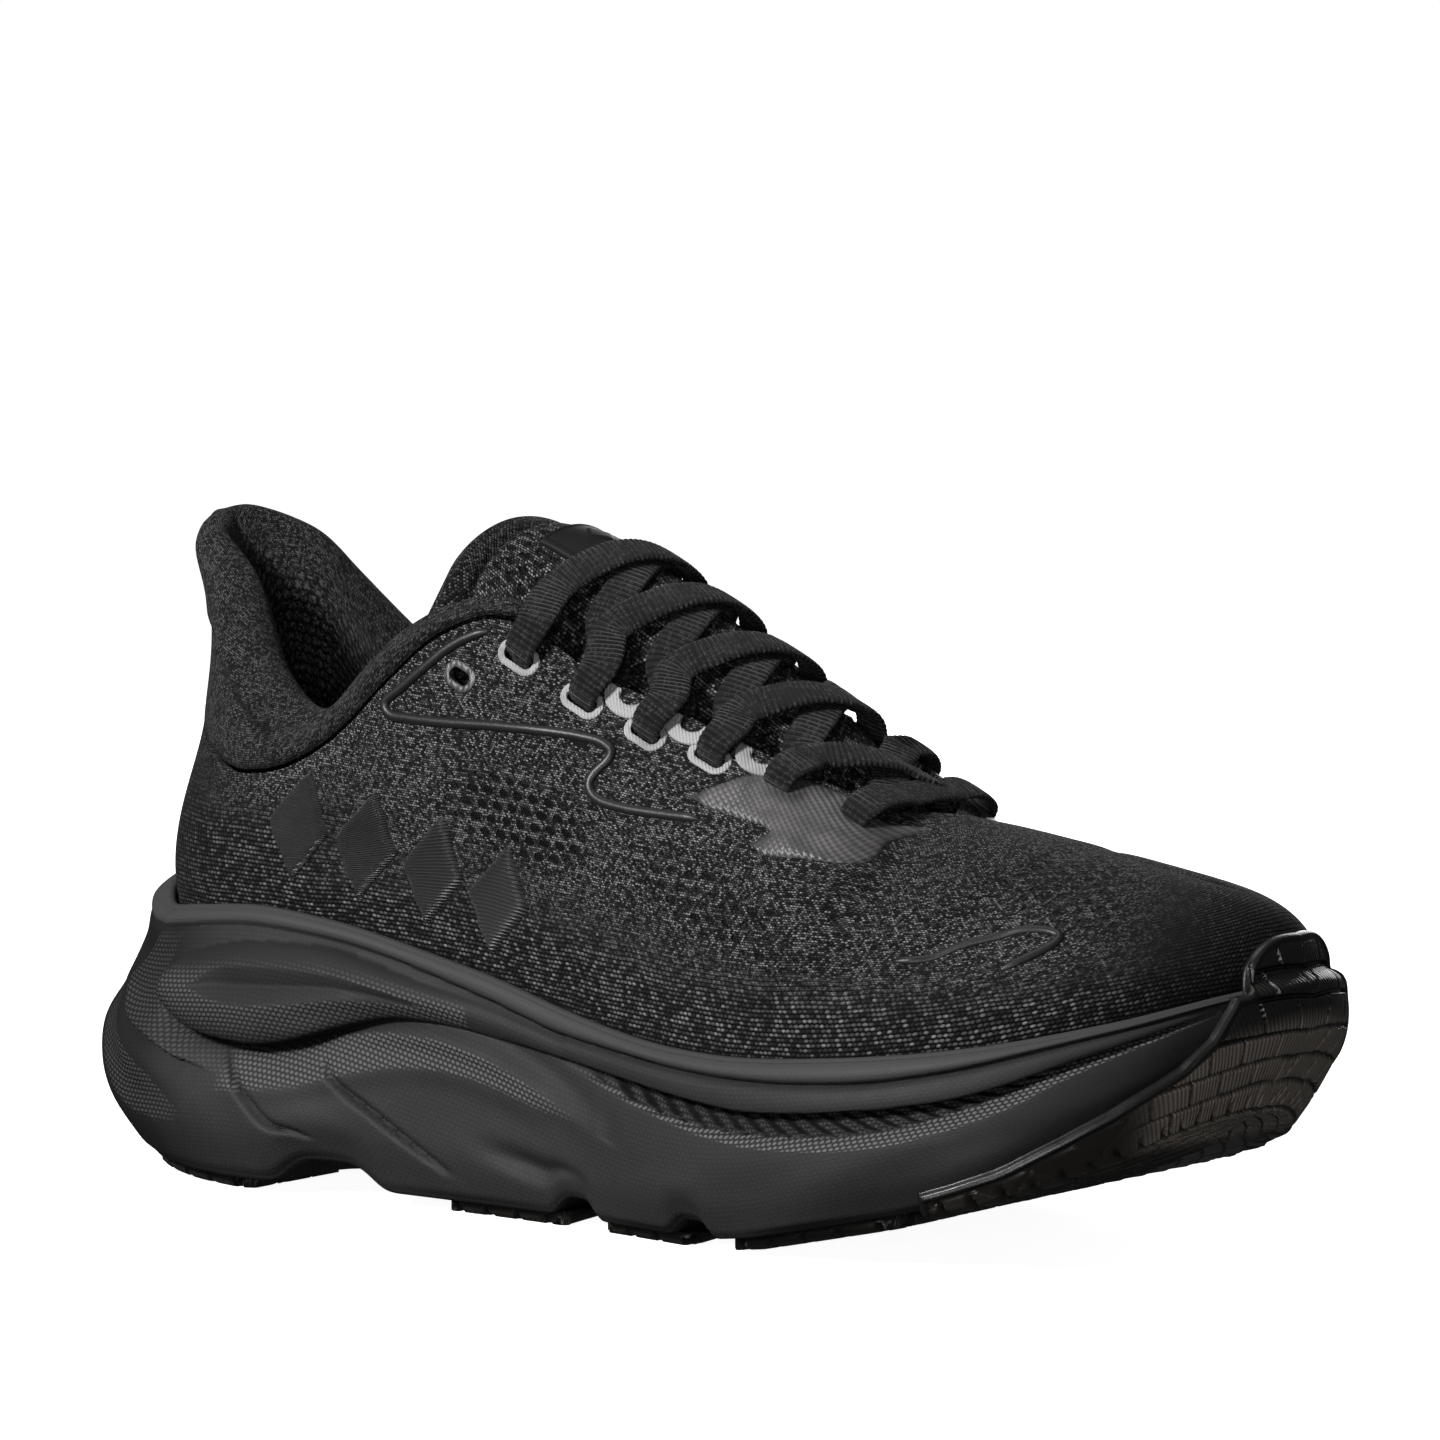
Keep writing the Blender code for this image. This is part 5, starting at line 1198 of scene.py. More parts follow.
def make_upper(shade, skin):
    s = np.linspace(0, ROUND, 529)[:-1]
    t = np.concatenate([[-1, -0.6, -0.3, -0.12], np.linspace(0, 1, 105)])
    S, T = np.meshgrid(s, t, indexing="ij")
    outer, normal = upper_face(S, T)
    inner = outer - normal * UPPER_THICK
    masks = upper_masks(S, T, outer)
    cloth = cloth_of(S, outer)
    rows, columns = S.shape
    count = rows * columns
    faces = [grid_faces(rows, columns, 0, True), grid_faces(rows, columns, count, True, flip=True)]
    a = np.arange(rows)
    b = (a + 1) % rows
    faces.append(np.stack([a * columns, a * columns + count, b * columns + count, b * columns], 1))
    last = columns - 1
    split = np.maximum(fold(s), fold(s[b])) <= THROAT_END + 0.021
    a, b = a[split], b[split]
    faces.append(np.stack([a * columns + last, b * columns + last, b * columns + last + count,
                           a * columns + last + count], 1))
    points = np.concatenate([outer.reshape(-1, 3), inner.reshape(-1, 3)])
    fields = {key: np.concatenate([value.ravel()] * 2) for key, value in masks.items()}
    made = piece("upper_shell", points, np.concatenate(faces), shade,
                 np.concatenate([cloth.reshape(-1, 2)] * 2),
                 slot="knit", stands_for=["upper_knit"], **fields)
    holes, hole_faces, start = [], [], 0
    for side in (-1, 1):
        for index in range(len(EYELETS)):
            place, normal, row, inward = eyelet_frame(skin, index, side)
            outline = oval(hole_size(index), 0.02, 24)
            sections = [[place + row * p + inward * q + normal * d for p, q in outline] for d in (-7, 7)]
            p, f = loft(sections)
            holes.append(p)
            hole_faces += [tuple(i + start for i in face) for face in f]
            start += len(p)
    cut = piece("lace_hole_cutter", np.concatenate(holes), hole_faces, shade, weld=0)
    through = made.modifiers.new("holes", "BOOLEAN")
    through.object, through.operation, through.solver = cut, "DIFFERENCE", "EXACT"
    bpy.context.view_layer.update()
    done = bpy.data.meshes.new_from_object(made.evaluated_get(bpy.context.evaluated_depsgraph_get()))
    made.modifiers.clear()
    made.data = done
    bpy.data.objects.remove(cut, do_unlink=True)
    return made


class Seen:
    """Finds the station and share of a place on the upper that is seen from the side at x and z."""

    def __init__(self):
        s, t = np.meshgrid(np.arange(1, 11, 0.04), np.linspace(0.02, 0.985, 120), indexing="ij")
        self.s, self.t, self.place = s.ravel(), t.ravel(), upper(s, t).reshape(-1, 3)

    def at(self, x, z):
        x, z = np.atleast_1d(np.asarray(x, float)), np.atleast_1d(np.asarray(z, float))
        found = []
        for a, b in zip(x, z):
            gap = (self.place[:, 0] - a)**2 + (self.place[:, 2] - b)**2
            near = np.argsort(gap)[:6]
            weight = 1 / (gap[near] + 1e-3)
            found.append([(self.s[near] * weight).sum() / weight.sum(),
                          (self.t[near] * weight).sum() / weight.sum()])
        return np.array(found)


def on_side(stations, side):
    return stations if side < 0 else ROUND - stations


def overlay(name, outline, side, low, high, shade, round_edge=0.5, step=1.1, slot=None, stands_for=()):
    """A thin piece bonded to the upper, from its outline in stations and shares."""
    outline = np.asarray(outline, float)
    scale = np.array([1 / 0.034, 1 / 0.017])        # about a millimetre each way
    plane = outline * scale
    closed = np.vstack([plane, plane[:1]])
    knots = np.concatenate([[0], np.cumsum(np.linalg.norm(np.diff(closed, axis=0), axis=1))])
    at = np.arange(0, knots[-1] - 0.3, 0.55)
    edge = np.stack([np.interp(at, knots, closed[:, i]) for i in (0, 1)], 1)
    lo, hi = edge.min(0), edge.max(0)
    gx, gy = np.meshgrid(np.arange(lo[0], hi[0], step), np.arange(lo[1], hi[1], step), indexing="ij")
    gx, gy = gx.ravel(), gy.ravel()
    ring = np.vstack([edge, edge[:1]])
    inside = closed_mask(gx, gy, ring) > 0
    apart, _, _ = away(gx, gy, ring)
    inner = np.stack([gx, gy], 1)[inside & (apart > 0.5)]
    points = [Vector(p) for p in np.vstack([edge, inner])]
    borders = [(i, (i + 1) % len(edge)) for i in range(len(edge))]
    verts, _, triangles, _, _, _ = delaunay_2d_cdt(points, borders, [], 1, 1e-5)
    flat = np.array([tuple(v) for v in verts])
    apart, _, _ = away(flat[:, 0], flat[:, 1], ring)
    s, t = (flat / scale).T
    s = on_side(s, side)
    place, normal = upper_face(s, t)
    lift = low + (high - low) * np.sqrt(np.clip(apart / round_edge, 0, 1))
    count = len(flat)
    triangles = np.array([tuple(f) for f in triangles])
    if side > 0:
        triangles = triangles[:, ::-1]
    edges = {}
    for a, b, c in triangles:
        for p, q in ((a, b), (b, c), (c, a)):
            edges[(p, q)] = True
    sides = [(b, a, a + count, b + count) for a, b in edges if (b, a) not in edges]
    faces = [tuple(f) for f in triangles] + [tuple(f[::-1] + count) for f in triangles] + sides
    both = np.concatenate([place + normal * lift[:, None], place + normal * (low - 0.5)])
    return piece(name, both, faces, shade, np.concatenate([flat] * 2), slot=slot, stands_for=stands_for,
                 hollow=np.zeros(2 * count))


def bead_line(name, path, side, seen, width, high, shade, slot, stands_for, taper=3.0):
    """A raised half-round line over the upper, along points seen from the side."""
    st = seen.at(*smooth_path(path, 0.8).T)
    for _ in range(6):
        st[1:-1] = (st[:-2] + 2 * st[1:-1] + st[2:]) / 4
    s = on_side(st[:, 0], side)
    place, normal = upper_face(s, st[:, 1])
    along = np.gradient(place, axis=0)
    along /= np.linalg.norm(along, axis=1, keepdims=True)
    across = np.cross(normal, along)
    run = np.concatenate([[0], np.cumsum(np.linalg.norm(np.diff(place, axis=0), axis=1))])
    size = np.sqrt(np.clip(np.minimum(run, run[-1] - run) / taper, 0.03, 1))
    angles = np.radians(np.linspace(0, 180, 9))
    top = (place[:, None]
           + across[:, None] * (np.cos(angles)[None, :, None] * width / 2 * size[:, None, None])
           + normal[:, None] * (np.sin(angles)[None, :, None] * high * size[:, None, None] - 0.15))
    base = np.stack([place - across * width / 2 * size[:, None] - normal * 0.5,
                     place + across * width / 2 * size[:, None] - normal * 0.5], 1)
    rows = np.concatenate([top, base], 1)
    points, faces = loft(rows)
    cloth = np.stack([np.broadcast_to(run[:, None], rows.shape[:2]),
                      np.broadcast_to(np.arange(rows.shape[1])[None, :] * 0.4, rows.shape[:2])], -1)
    return piece(name, points, faces, shade, cloth, slot=slot, stands_for=stands_for,
                 hollow=np.zeros(len(points)))


# --------------------------------------------------------------------------------- collar and tongue
def make_collar(shade):
    turn = np.linspace(-COLLAR_SHOWN_END, COLLAR_SHOWN_END, 261)
    rows, inner, masks, cloth = [], [], [], []
    run = 0.0
    last = None
    for s in turn:
        path, normal = collar_path(s % ROUND, -1)
        length = np.concatenate([[0], np.cumsum(np.linalg.norm(np.diff(path, axis=0), axis=1))])
        share = np.concatenate([np.linspace(0, length[7], 46)[:-1],
                                np.linspace(length[7], length[9], 26)[:-1],
                                np.linspace(length[9], length[-1], 30)])
        dense = cubic(length, path, share)
        for _ in range(3):
            dense[1:-1] = (dense[:-2] + 2 * dense[1:-1] + dense[2:]) / 4
        out = inset_path(dense, normal, -1.0) - dense
        puff = 0.9 * np.sin(np.pi * np.clip(share / length[3], 0, 1))**0.8
        quilt = 1.6 * bump_over(share, length[7] * 1.0, length[9] * 1.15)
        tuck = -1.2 * np.exp(-((share - length[8] * 1.05) / 3.0)**2) * (1 - rise(abs(s), 3.4, 4.2))
        pad = 1 - rise(abs(s), 3.9, 4.5)
        above = dense[:, 2] - np.interp(abs(s), *zip(*TAB_SEAM))
        outside = 1 - rise(share, length[4], length[5])
        ridge_gap = dense[:, 2].max() - dense[:, 2]
        step = (0.9 * rise(above, -0.3, 0.5) * rise(ridge_gap, 2,
                                                    12) - 0.5 * np.exp(-(above / 0.9)**2)) * outside
        step *= 1 - rise(abs(s), 2.7, 3.1)
        dense = dense + out * ((puff + quilt + tuck) * pad + step)[:, None]
        # the pad runs out into the throat's edge
        shrink = 1 - 0.75 * rise(abs(s), COLLAR_SHOWN_END - 0.22, COLLAR_SHOWN_END)
        middle = dense[20:60].mean(0)
        dense = middle + (dense - middle) * shrink
        rows.append(dense)
        inner.append(inset_path(dense, normal, 1.2 * shrink))
        if last is not None:
            run += np.linalg.norm(dense[20] - last)
        last = dense[20]
        inside = rise(share, length[6], length[8])
        # Painted shade: a dark line along the dip of the heel tab's seam, and a dark band at the collar's
        # lower seam, both carried in the hollow mask.
        stitch = 0.9 * np.exp(-(above / 0.7)**2) * outside * (1 - rise(abs(s), 2.7, 3.1))
        cloth.append(np.stack([np.full(len(share), run), share], 1))
        masks.append(np.stack([inside, np.maximum((share < 1.2) * 0.6, stitch), np.full(len(share), 0.25)],
                              1))
    masks = np.array(masks)
    points, faces = slab(np.array(rows), np.array(inner))
    fields = {key: np.concatenate([masks[..., i].ravel()] * 2) for i,
              key in enumerate(("open", "hollow", "twill"))}
    return piece("collar_padding", points, faces, shade,
                 np.concatenate([np.array(cloth).reshape(-1, 2)] * 2),
                 slot="lining", stands_for=["collar_lining", "collar_foam"], **fields)


def collar_shade():
    """Fine knit outside and over the ridge, a coarse spacer mesh inside."""
    s = Shade("collar_knit", 0.85, Specular_IOR_Level=0.08, Sheen_Weight=0.04, Sheen_Roughness=0.5)
    s.set("Sheen Tint", (0.75, 0.75, 0.78))
    u, v = s.cloth()
    warp = s.noise(300, 1.0)
    u = s.m("ADD", u, s.m("MULTIPLY", s.m("SUBTRACT", warp, 0.5), 0.7))
    x, y, random = s.cells(u, v, 0.6, 0.5)
    fine = s.m("POWER", s.dome(x, y, 0.55, 0.52), 0.6)
    mx, my, _ = s.cells(u, v, 3.1, 2.3)
    knob = s.m("POWER", s.dome(mx, my, 0.52, 0.5), 0.5)
    inside = s.attribute("open")
    body = s.lerp(inside, fine, s.m("MULTIPLY", knob, s.m("ADD", 0.55, s.m("MULTIPLY", fine, 0.45))))
    patchy = s.m("MULTIPLY", s.m("SUBTRACT", s.noise(800, 2.0, 0.7), 0.5), 0.5)
    bright = s.m("MULTIPLY", s.m("POWER", s.m("ADD", random, patchy, clamp=True), 1.8), body)
    # Darker between the stitches and the knobs of the mesh: painted shade in the gaps.
    colour = s.mix(body, (0.0008, 0.0008, 0.0009), (0.0065, 0.0065, 0.0067))
    colour = s.mix(bright, colour, (0.1, 0.1, 0.102))
    # Painted shade: near black along the collar's lower seam and the dip across the heel tab.
    colour = s.mix(s.attribute("hollow"), colour, (0.002, 0.002, 0.002))
    s.set("Base Color", colour)
    s.bump(s.m("ADD", s.m("MULTIPLY", fine, s.lerp(inside, 1.0, 0.3)),
               s.m("MULTIPLY", s.m("MULTIPLY", knob, inside), 3.0)),
           0.00022)
    return s.material


def tongue_face(v, angle):
    """Places on the tongue's outer face, and the way out of it, over grids of v and angle."""
    rows = np.array(TONGUE, float)
    at = np.linspace(0, 1, len(rows))

    def place(v, angle):
        values = cubic(at, rows, np.clip(v, 0, 1))
        x, z, _, half, drop = np.moveaxis(values, -1, 0)
        slope = (cubic(at, rows[:, :2], np.clip(v + 0.01, 0, 1)) - cubic(at, rows[:, :2],
                                                                         np.clip(v - 0.01, 0, 1)))
        slope /= np.linalg.norm(slope, axis=-1, keepdims=True)
        down = np.stack([slope[..., 1], 0 * x, -slope[..., 0]], -1)
        down *= np.where(down[..., 2:] > 0, -1, 1)
        return (np.stack([x, centre(x) + half * np.sin(angle), z], -1)
                + down * (drop * (1 - np.cos(angle)))[..., None])

    made = place(v, angle)
    around = place(v, angle + 0.02) - place(v, angle - 0.02)
    along = place(np.minimum(v + 0.02, 1), angle) - place(np.maximum(v - 0.02, 0), angle)
    normal = np.cross(around, along)
    normal /= np.linalg.norm(normal, axis=-1, keepdims=True)
    return made, np.where(normal[..., 2:] > 0, normal, -normal), cubic(at, rows[:, 2], np.clip(v, 0, 1))


def make_tongue(shade):
    v = np.concatenate([np.linspace(0, 0.86, 90), np.linspace(0.864, 1, 44)])
    angle = np.linspace(-TONGUE_SPREAD, TONGUE_SPREAD, 61)
    wings = np.linspace(1, 0, 12)[:-1]
    A = np.concatenate([np.full(11, angle[0]), angle, np.full(11, angle[-1])])
    curl = np.concatenate([wings, np.zeros(61), wings[::-1]])
    V, A = np.meshgrid(v, A, indexing="ij")
    curl = np.broadcast_to(curl[None, :], V.shape)
    face, normal, thick = tongue_face(V, A)
    # the sides go on down behind the collar
    reach = 17 * rise(V, 0.6, 0.86)
    out = np.stack([0 * A, np.sign(A), 0 * A], -1)
    bent = np.sin(np.clip(curl, 0, 1) * 1.2)[..., None]
    fall = np.stack([0.12 - 0.62 * rise(V, 0.78, 1.0), 0 * V, -1 + 0 * V], -1)
    face = face + (fall * curl[..., None] + out * 0.14 * bent) * reach[..., None]
    normal = normal * (1 - bent) + out * bent
    normal /= np.linalg.norm(normal, axis=-1, keepdims=True)
    side = np.abs(A) / TONGUE_SPREAD
    rim = (1 - side) * TONGUE_SPREAD * 25 + (1 - curl) * reach
    edge = np.sqrt(np.clip(rim / 3, 0, 1))
    roll = 1.7 * bump_over(V, 0.925, 1.045) - 1.0 * np.exp(-((V - 0.925) / 0.008)**2)
    crown = 0.5 * (1 - side**2) * rise(V, 0.35, 0.8)
    tip = np.sqrt(np.clip((1 - V) / 0.035, 0, 1))
    half = thick / 2
    middle = face - normal * half[..., None]
    high = (half + crown + roll) * np.maximum(edge * tip, 0.04)
    low = (half + 0.8 * roll.clip(0)) * np.maximum(np.minimum(edge, 0.5 + 0.5 * (1 - side)) * tip, 0.04)
    points, faces = slab(middle + normal * high[..., None], middle - normal * low[..., None])
    run = np.concatenate([[0], np.cumsum(np.linalg.norm(np.diff(face[:, 41], axis=0), axis=1))])
    cloth = np.stack([np.broadcast_to(run[:, None], V.shape), A * 26 + np.sign(A) * curl * reach], -1)
    top = rise(V, 0.915, 0.93)
    seam = np.exp(-((V - 0.925) / 0.005)**2)
    # hollow: painted shade in the seam groove under the top roll, and a darker tone over the top roll, which
    # is its own fabric.
    fields = dict(open=(1 - top) * (1 - rise(side, 0.85, 1.0)) * 0.85 * rise(V, 0.1, 0.3), twill=0 * V,
                  hollow=np.maximum(seam, 0.75 * top))
    return piece("tongue_pad", points, faces, shade, np.concatenate([cloth.reshape(-1, 2)] * 2),
                 body="tongue",
                 slot="knit", stands_for=["tongue"], **{k: np.concatenate([f.ravel()] * 2) for k,
                                                        f in fields.items()})


def make_label(shade):
    """The patch on the tongue, with a raised border and a small plain diamond."""
    v, a = np.linspace(0.762, 0.866, 56), np.linspace(-0.46, 0.46, 76)
    V, A = np.meshgrid(v, a, indexing="ij")
    place, normal, _ = tongue_face(V, A)
    p, q = (V - 0.814) / 0.052, A / 0.46
    border = np.maximum(np.abs(p), np.abs(q))
    mark = 1 - rise(np.abs(p) / 0.55 + np.abs(q) / 0.3, 0.85, 1.0)
    lift = 0.75 + 0.28 * (bump_over(border, 0.84, 0.98)) + 0.3 * mark + 0.5 * (1 - (A / TONGUE_SPREAD)**2)
    lift = np.where(border > 0.985, 0.3, lift)
    points, faces = slab(place + normal * lift[..., None], place - normal * 0.3)
    cloth = np.stack([p * 7, q * 11], -1)
    return piece("tongue_patch", points, faces, shade, np.concatenate([cloth.reshape(-1, 2)] * 2),
                 body="tongue",
                 slot="film_black", stands_for=["tongue_label"])


# ---------------------------------------------------------------------------------------------- lace
def make_lace(shade, skin):
    """One flat woven cord: its width always lies along the row of holes, so it never twists."""
    lateral, medial = Lace(skin, -1), Lace(skin, 1)
    path = np.array(medial.path[:0:-1] + lateral.path)
    length = np.concatenate([[0], np.cumsum(np.linalg.norm(np.diff(path, axis=0), axis=1))])
    at = np.linspace(0, length[-1], int(length[-1] / LACE_RIB * 4))
    points = cubic(length, path, at)
    for _ in range(24):
        points[1:-1] = (points[:-2] + 2 * points[1:-1] + points[2:]) / 4
    along = np.gradient(points, axis=0)
    along /= np.linalg.norm(along, axis=1, keepdims=True)
    row = np.array(THROAT_WAY.normalized())
    across = row - along * (along @ row)[:, None]
    across /= np.linalg.norm(across, axis=1, keepdims=True)
    for _ in range(60):
        across[1:-1] = across[:-2] + 2 * across[1:-1] + across[2:]
        across -= along * (across * along).sum(1, keepdims=True)
        across /= np.linalg.norm(across, axis=1, keepdims=True)
    up = np.cross(along, across)
    holes = np.array([eyelet_frame(skin, index, side)[0] for index in range(LACED) for side in (-1, 1)])
    near = np.linalg.norm(points[:, None] - holes[None], axis=-1).min(1)
    squeeze = np.exp(-(near / 4.5)**2)
    angles = np.radians(np.arange(0, 360, 18))
    wide = LACE_WIDTH_SHOWN / 2 * (1 - 0.13 * squeeze)
    high = LACE_THICK / 2 * (1 + 0.1 * squeeze)
    rib = np.cos(at * 2 * np.pi / LACE_RIB)
    a = np.sign(np.cos(angles)) * np.abs(np.cos(angles))**0.6
    b = np.sign(np.sin(angles)) * np.abs(np.sin(angles))**0.8
    rows = (points[:, None] + across[:, None] * (a[None, :] * (wide * (1 + 0.012 * rib))[:, None])[..., None]
            + up[:, None] * (b[None, :] * (high * (1 + 0.16 * rib))[:, None])[..., None])
    cloth = np.stack([np.broadcast_to(at[:, None], rows.shape[:2]),
                      np.broadcast_to(a[None, :] * LACE_WIDTH_SHOWN / 2, rows.shape[:2])], -1)
    flat, faces = loft(rows)
    piece("lace_cord", flat, faces, shade, cloth, slot="lace", stands_for=["lace"])


def oval(size, grow, count):
    """An oval hole: along the row and across it."""
    long, width = size
    straight, radius = (long - width) / 2, width / 2 + grow
    angles = 2 * np.pi * (np.arange(count) + 0.5) / count
    return [(straight * np.sign(np.cos(a)) + radius * np.cos(a), radius * np.sin(a)) for a in angles]


def hole_size(index):
    return SHOWN_SPARE if index == LACED else SHOWN_SLOT


def make_ring(name, skin, index, side, shade, node):
    """A thin reflective film ring bonded round a hole."""
    place, _, row, inward = eyelet_frame(skin, index, side)
    rows = []
    for grow, lift in ((0.0, -0.6), (0.0, 0.12), (0.12, 0.24), (SHOWN_RING - 0.15, 0.24), (SHOWN_RING, 0.1),
                       (SHOWN_RING, -0.6)):
        ring = []
        for a, b in oval(hole_size(index), grow, 48):
            on, way = skin.near(place + row * a + inward * b)
            ring.append(on + way * lift)
        rows.append(ring)
    points, faces = loft(np.array(rows).transpose(1, 0, 2), ring=True)
    piece(name, points, faces, shade, points[:, :2], slot="film_grey", stands_for=[node])


def make_mark(station, side):
    """A U of film on the throat's edge, open towards the throat."""
    station = on_side(station, side)
    edge, normal = upper(station, 1), upper_normal(station, 1)
    row = upper(station + 0.05, 1) - upper(station - 0.05, 1)
    row /= np.linalg.norm(row)
    out = np.cross(row, normal)
    out = out if out @ (upper(station, 0.9) - edge) > 0 else -out
    middle = edge + out * 1.2
    skin_rows = []
    for a in np.radians(np.linspace(-100, 100, 33)):
        way = out * math.cos(a) + row * math.sin(a) * 1.25
        section = []
        for r, lift in ((MARK_RADIUS - 0.3, -0.2), (MARK_RADIUS - 0.3, 0.45), (MARK_RADIUS + 0.2, 0.6),
                        (MARK_RADIUS + 2.2, 0.6), (MARK_RADIUS + 2.6, 0.4), (MARK_RADIUS + 2.6, -0.2)):
            p = middle + way * r
            section.append((p, lift))
        skin_rows.append(section)
    return skin_rows


# -------------------------------------------------------------------------------------------- rubber
def ground_grid(S, W, lift):
    a = sole_wall(S, np.ones(S.shape))
    b = sole_wall(ROUND - S, np.ones(S.shape))
    a, b = a - outward(S) * 1.2, b - outward(ROUND - S) * 1.2
    p = a * ((1 - W) / 2)[..., None] + b * ((1 + W) / 2)[..., None]
    p[..., 2] = base_height(p[..., 0]) + lift
    return p


def cuts(value, pitch, width):
    """1 in the grooves that repeat over a distance, 0 on the blocks between them."""
    off = np.abs(np.mod(value, pitch) - pitch / 2)
    return 1 - rise(off, width / 2, width)


def make_pod(name, shade, start, end, left, right):
    s, w = np.linspace(start, end, int((end - start) * 44)), np.linspace(left, right, 76)
    S, W = np.meshgrid(s, w, indexing="ij")
    p = (S - start) / (end - start) * 2 - 1
    q = (W - left) / (right - left) * 2 - 1
    corner = np.clip((np.abs(p)**5 + np.abs(q)**5)**0.2, 0, 1.15)
    pull = np.where(corner > 1, 1 / np.maximum(corner, 1), 1)
    S = (start + end) / 2 + p * pull * (end - start) / 2
    W = (left + right) / 2 + q * pull * (right - left) / 2
    ground = ground_grid(S, W, 0.0)
    x, y = ground[..., 0], ground[..., 1]
    edge = np.maximum(np.abs(p), np.abs(q)) * pull
    slant = x + 0.35 * np.abs(y)
    groove = np.maximum(cuts(slant, 8.5, 0.9), 0.8 * cuts(y + 3 * np.sin(x / 14), 12.5, 0.8))
    ground[..., 2] += 1.5 * groove + 0.9 * rise(edge, 0.9, 1.0)
    top = ground_grid(S, W, RUBBER_THICK + 0.45)
    points, faces = slab(ground, top)
    cloth = np.stack([x, y], -1)
    rib = (1 - groove) * (1 - rise(edge, 0.93, 1))
    # hollow: painted shade in the grooves; down covers the whole tread, which takes the lighter, warmer tone
    # of its ground side.
    piece("tread" + name[7:], points, faces, shade, np.concatenate([cloth.reshape(-1, 2)] * 2),
          slot="outsole_rubber", stands_for=[name],
          rib=np.concatenate([rib.ravel(), np.zeros(groove.size)]),
          hollow=np.concatenate([groove.ravel()] * 2), down=np.ones(2 * groove.size))


def make_toe_rubber(shade):
    tops = np.array(TOE_RUBBER_TOP)
    s = np.concatenate([np.linspace(TOE_RUBBER_FROM, 9.6, 100)[:-1], np.linspace(9.6, 11, 120)])
    reach_at = np.linspace(1, 0, 76)
    lifts = np.linspace(1, 0.1, 34)

    def half(stations):
        normal = outward(stations)
        rising = np.interp(stations, tops[:, 0], tops[:, 1]) / 5
        reach = np.minimum(1, rising / 0.8)
        grown = 1 - reach[:, None] * reach_at[None, :]
        line = sole_wall(np.broadcast_to(stations[:, None], grown.shape), grown) + normal[:, None] * 0.9
        off = np.abs(stations - TIP) / TAB_HALF
        tab = 1 - rise(off, 0.93, 1.03)
        arch_high = TAB_HIGH * np.clip(1 - np.clip(off, 0, 1)**3.2, 0.02, 1)**0.5
        skin, out = upper_face(stations[:, None] + 0 * lifts[None, :], arch_high[:, None] * lifts[None, :])
        skin = skin + out * (GAP + 0.4)
        above = line[:, :1] * (1 - tab)[:, None, None] + skin * tab[:, None, None]
        return np.concatenate([above, line], 1)

    lateral, medial = half(s), half(ROUND - s)
    ways = np.linspace(-1, 1, 92)[1:-1]
    under = (lateral[:, -1:] * ((1 - ways) / 2)[None, :, None]
             + medial[:, -1:] * ((1 + ways) / 2)[None, :, None])
    under[..., 2] = np.minimum(under[..., 2], base_height(under[..., 0]) + RUBBER_THICK)
    face = np.concatenate([lateral, under, medial[:, ::-1]], 1)
    for _ in range(7):
        face[:, 1:-1] = (face[:, :-2] + 2 * face[:, 1:-1] + face[:, 2:]) / 4
    along, across = np.gradient(face, axis=0), np.gradient(face, axis=1)
    normal = np.cross(along, across)
    length = np.linalg.norm(normal, axis=-1, keepdims=True)
    normal = normal / np.maximum(length, 1e-9)
    middle = face.shape[1] // 2
    if normal[20, middle, 2] > 0:
        normal = -normal
    for _ in range(14):
        normal[:, 1:-1] = normal[:, :-2] + 2 * normal[:, 1:-1] + normal[:, 2:]
        normal[1:-1] = normal[:-2] + 2 * normal[1:-1] + normal[2:]
        normal /= np.maximum(np.linalg.norm(normal, axis=-1, keepdims=True), 1e-9)
    normal[-1] = normal[-2]
    # up from the ground edge, and along it, in millimetres
    count = lateral.shape[1]
    steps = np.linalg.norm(np.diff(face, axis=1), axis=-1)
    run = np.concatenate([np.zeros((len(s), 1)), np.cumsum(steps, axis=1)], 1)
    columns = np.arange(face.shape[1])
    near_lateral = columns[None, :] < middle
    course = np.where(near_lateral, run[:, count - 1:count] - run, run - run[:, -count:1 - count])
    edge = face[:, count // 2 + 20]
    forward = np.concatenate([[0], np.cumsum(np.linalg.norm(np.diff(edge, axis=0), axis=1))])
    forward = forward[:, None] - forward[-1] + 0 * run
    brick = np.floor(course / COURSE)
    slanted = forward + 0.25 * course + np.mod(brick, 2) * BLOCK / 2
    groove = np.maximum(cuts(course + COURSE / 2, COURSE, 0.55), 0.95 * cuts(slanted, BLOCK, 0.5))
    # chunky teeth where the wall turns under
    teeth = cuts(forward + 0.3 * course, TOOTH, 0.9) * bump_over(course, -13, 4)**0.4
    border = np.concatenate([face[:, 0], face[:, -1], face[0]])
    end = np.array([np.linalg.norm(row[:, None] - border[None], axis=-1).min(1) for row in face])
    bead = bump_over(end, 0.3, 2.1)
    # behind the blocks, low slanted facets
    plain = 1 - rise(s, 9.0, 9.5)[:, None] * np.ones(face.shape[1])
    facet = np.mod((forward + 1.4 * course) / 13, 1) * 1.3 + cuts(forward - 0.8 * course, 17, 0.7) * -0.8
    groove = np.maximum(groove * (1 - plain), teeth) * rise(end, 2.0, 2.6)
    thick = (0.3 + rise(end, 0, 0.5) * 0.9 + 0.5 * bead - 0.95 * groove
             + facet * plain * rise(end, 2.0, 3.0) * 0.4)
    thick -= 0.8 * teeth * rise(end, 2.0, 2.6)
    outer = face + normal * thick[..., None]
    points, faces = slab(outer, face - normal * 0.4)
    cloth = np.stack([forward * np.where(near_lateral, 1, -1), course], -1)
    zero = np.zeros(run.size)
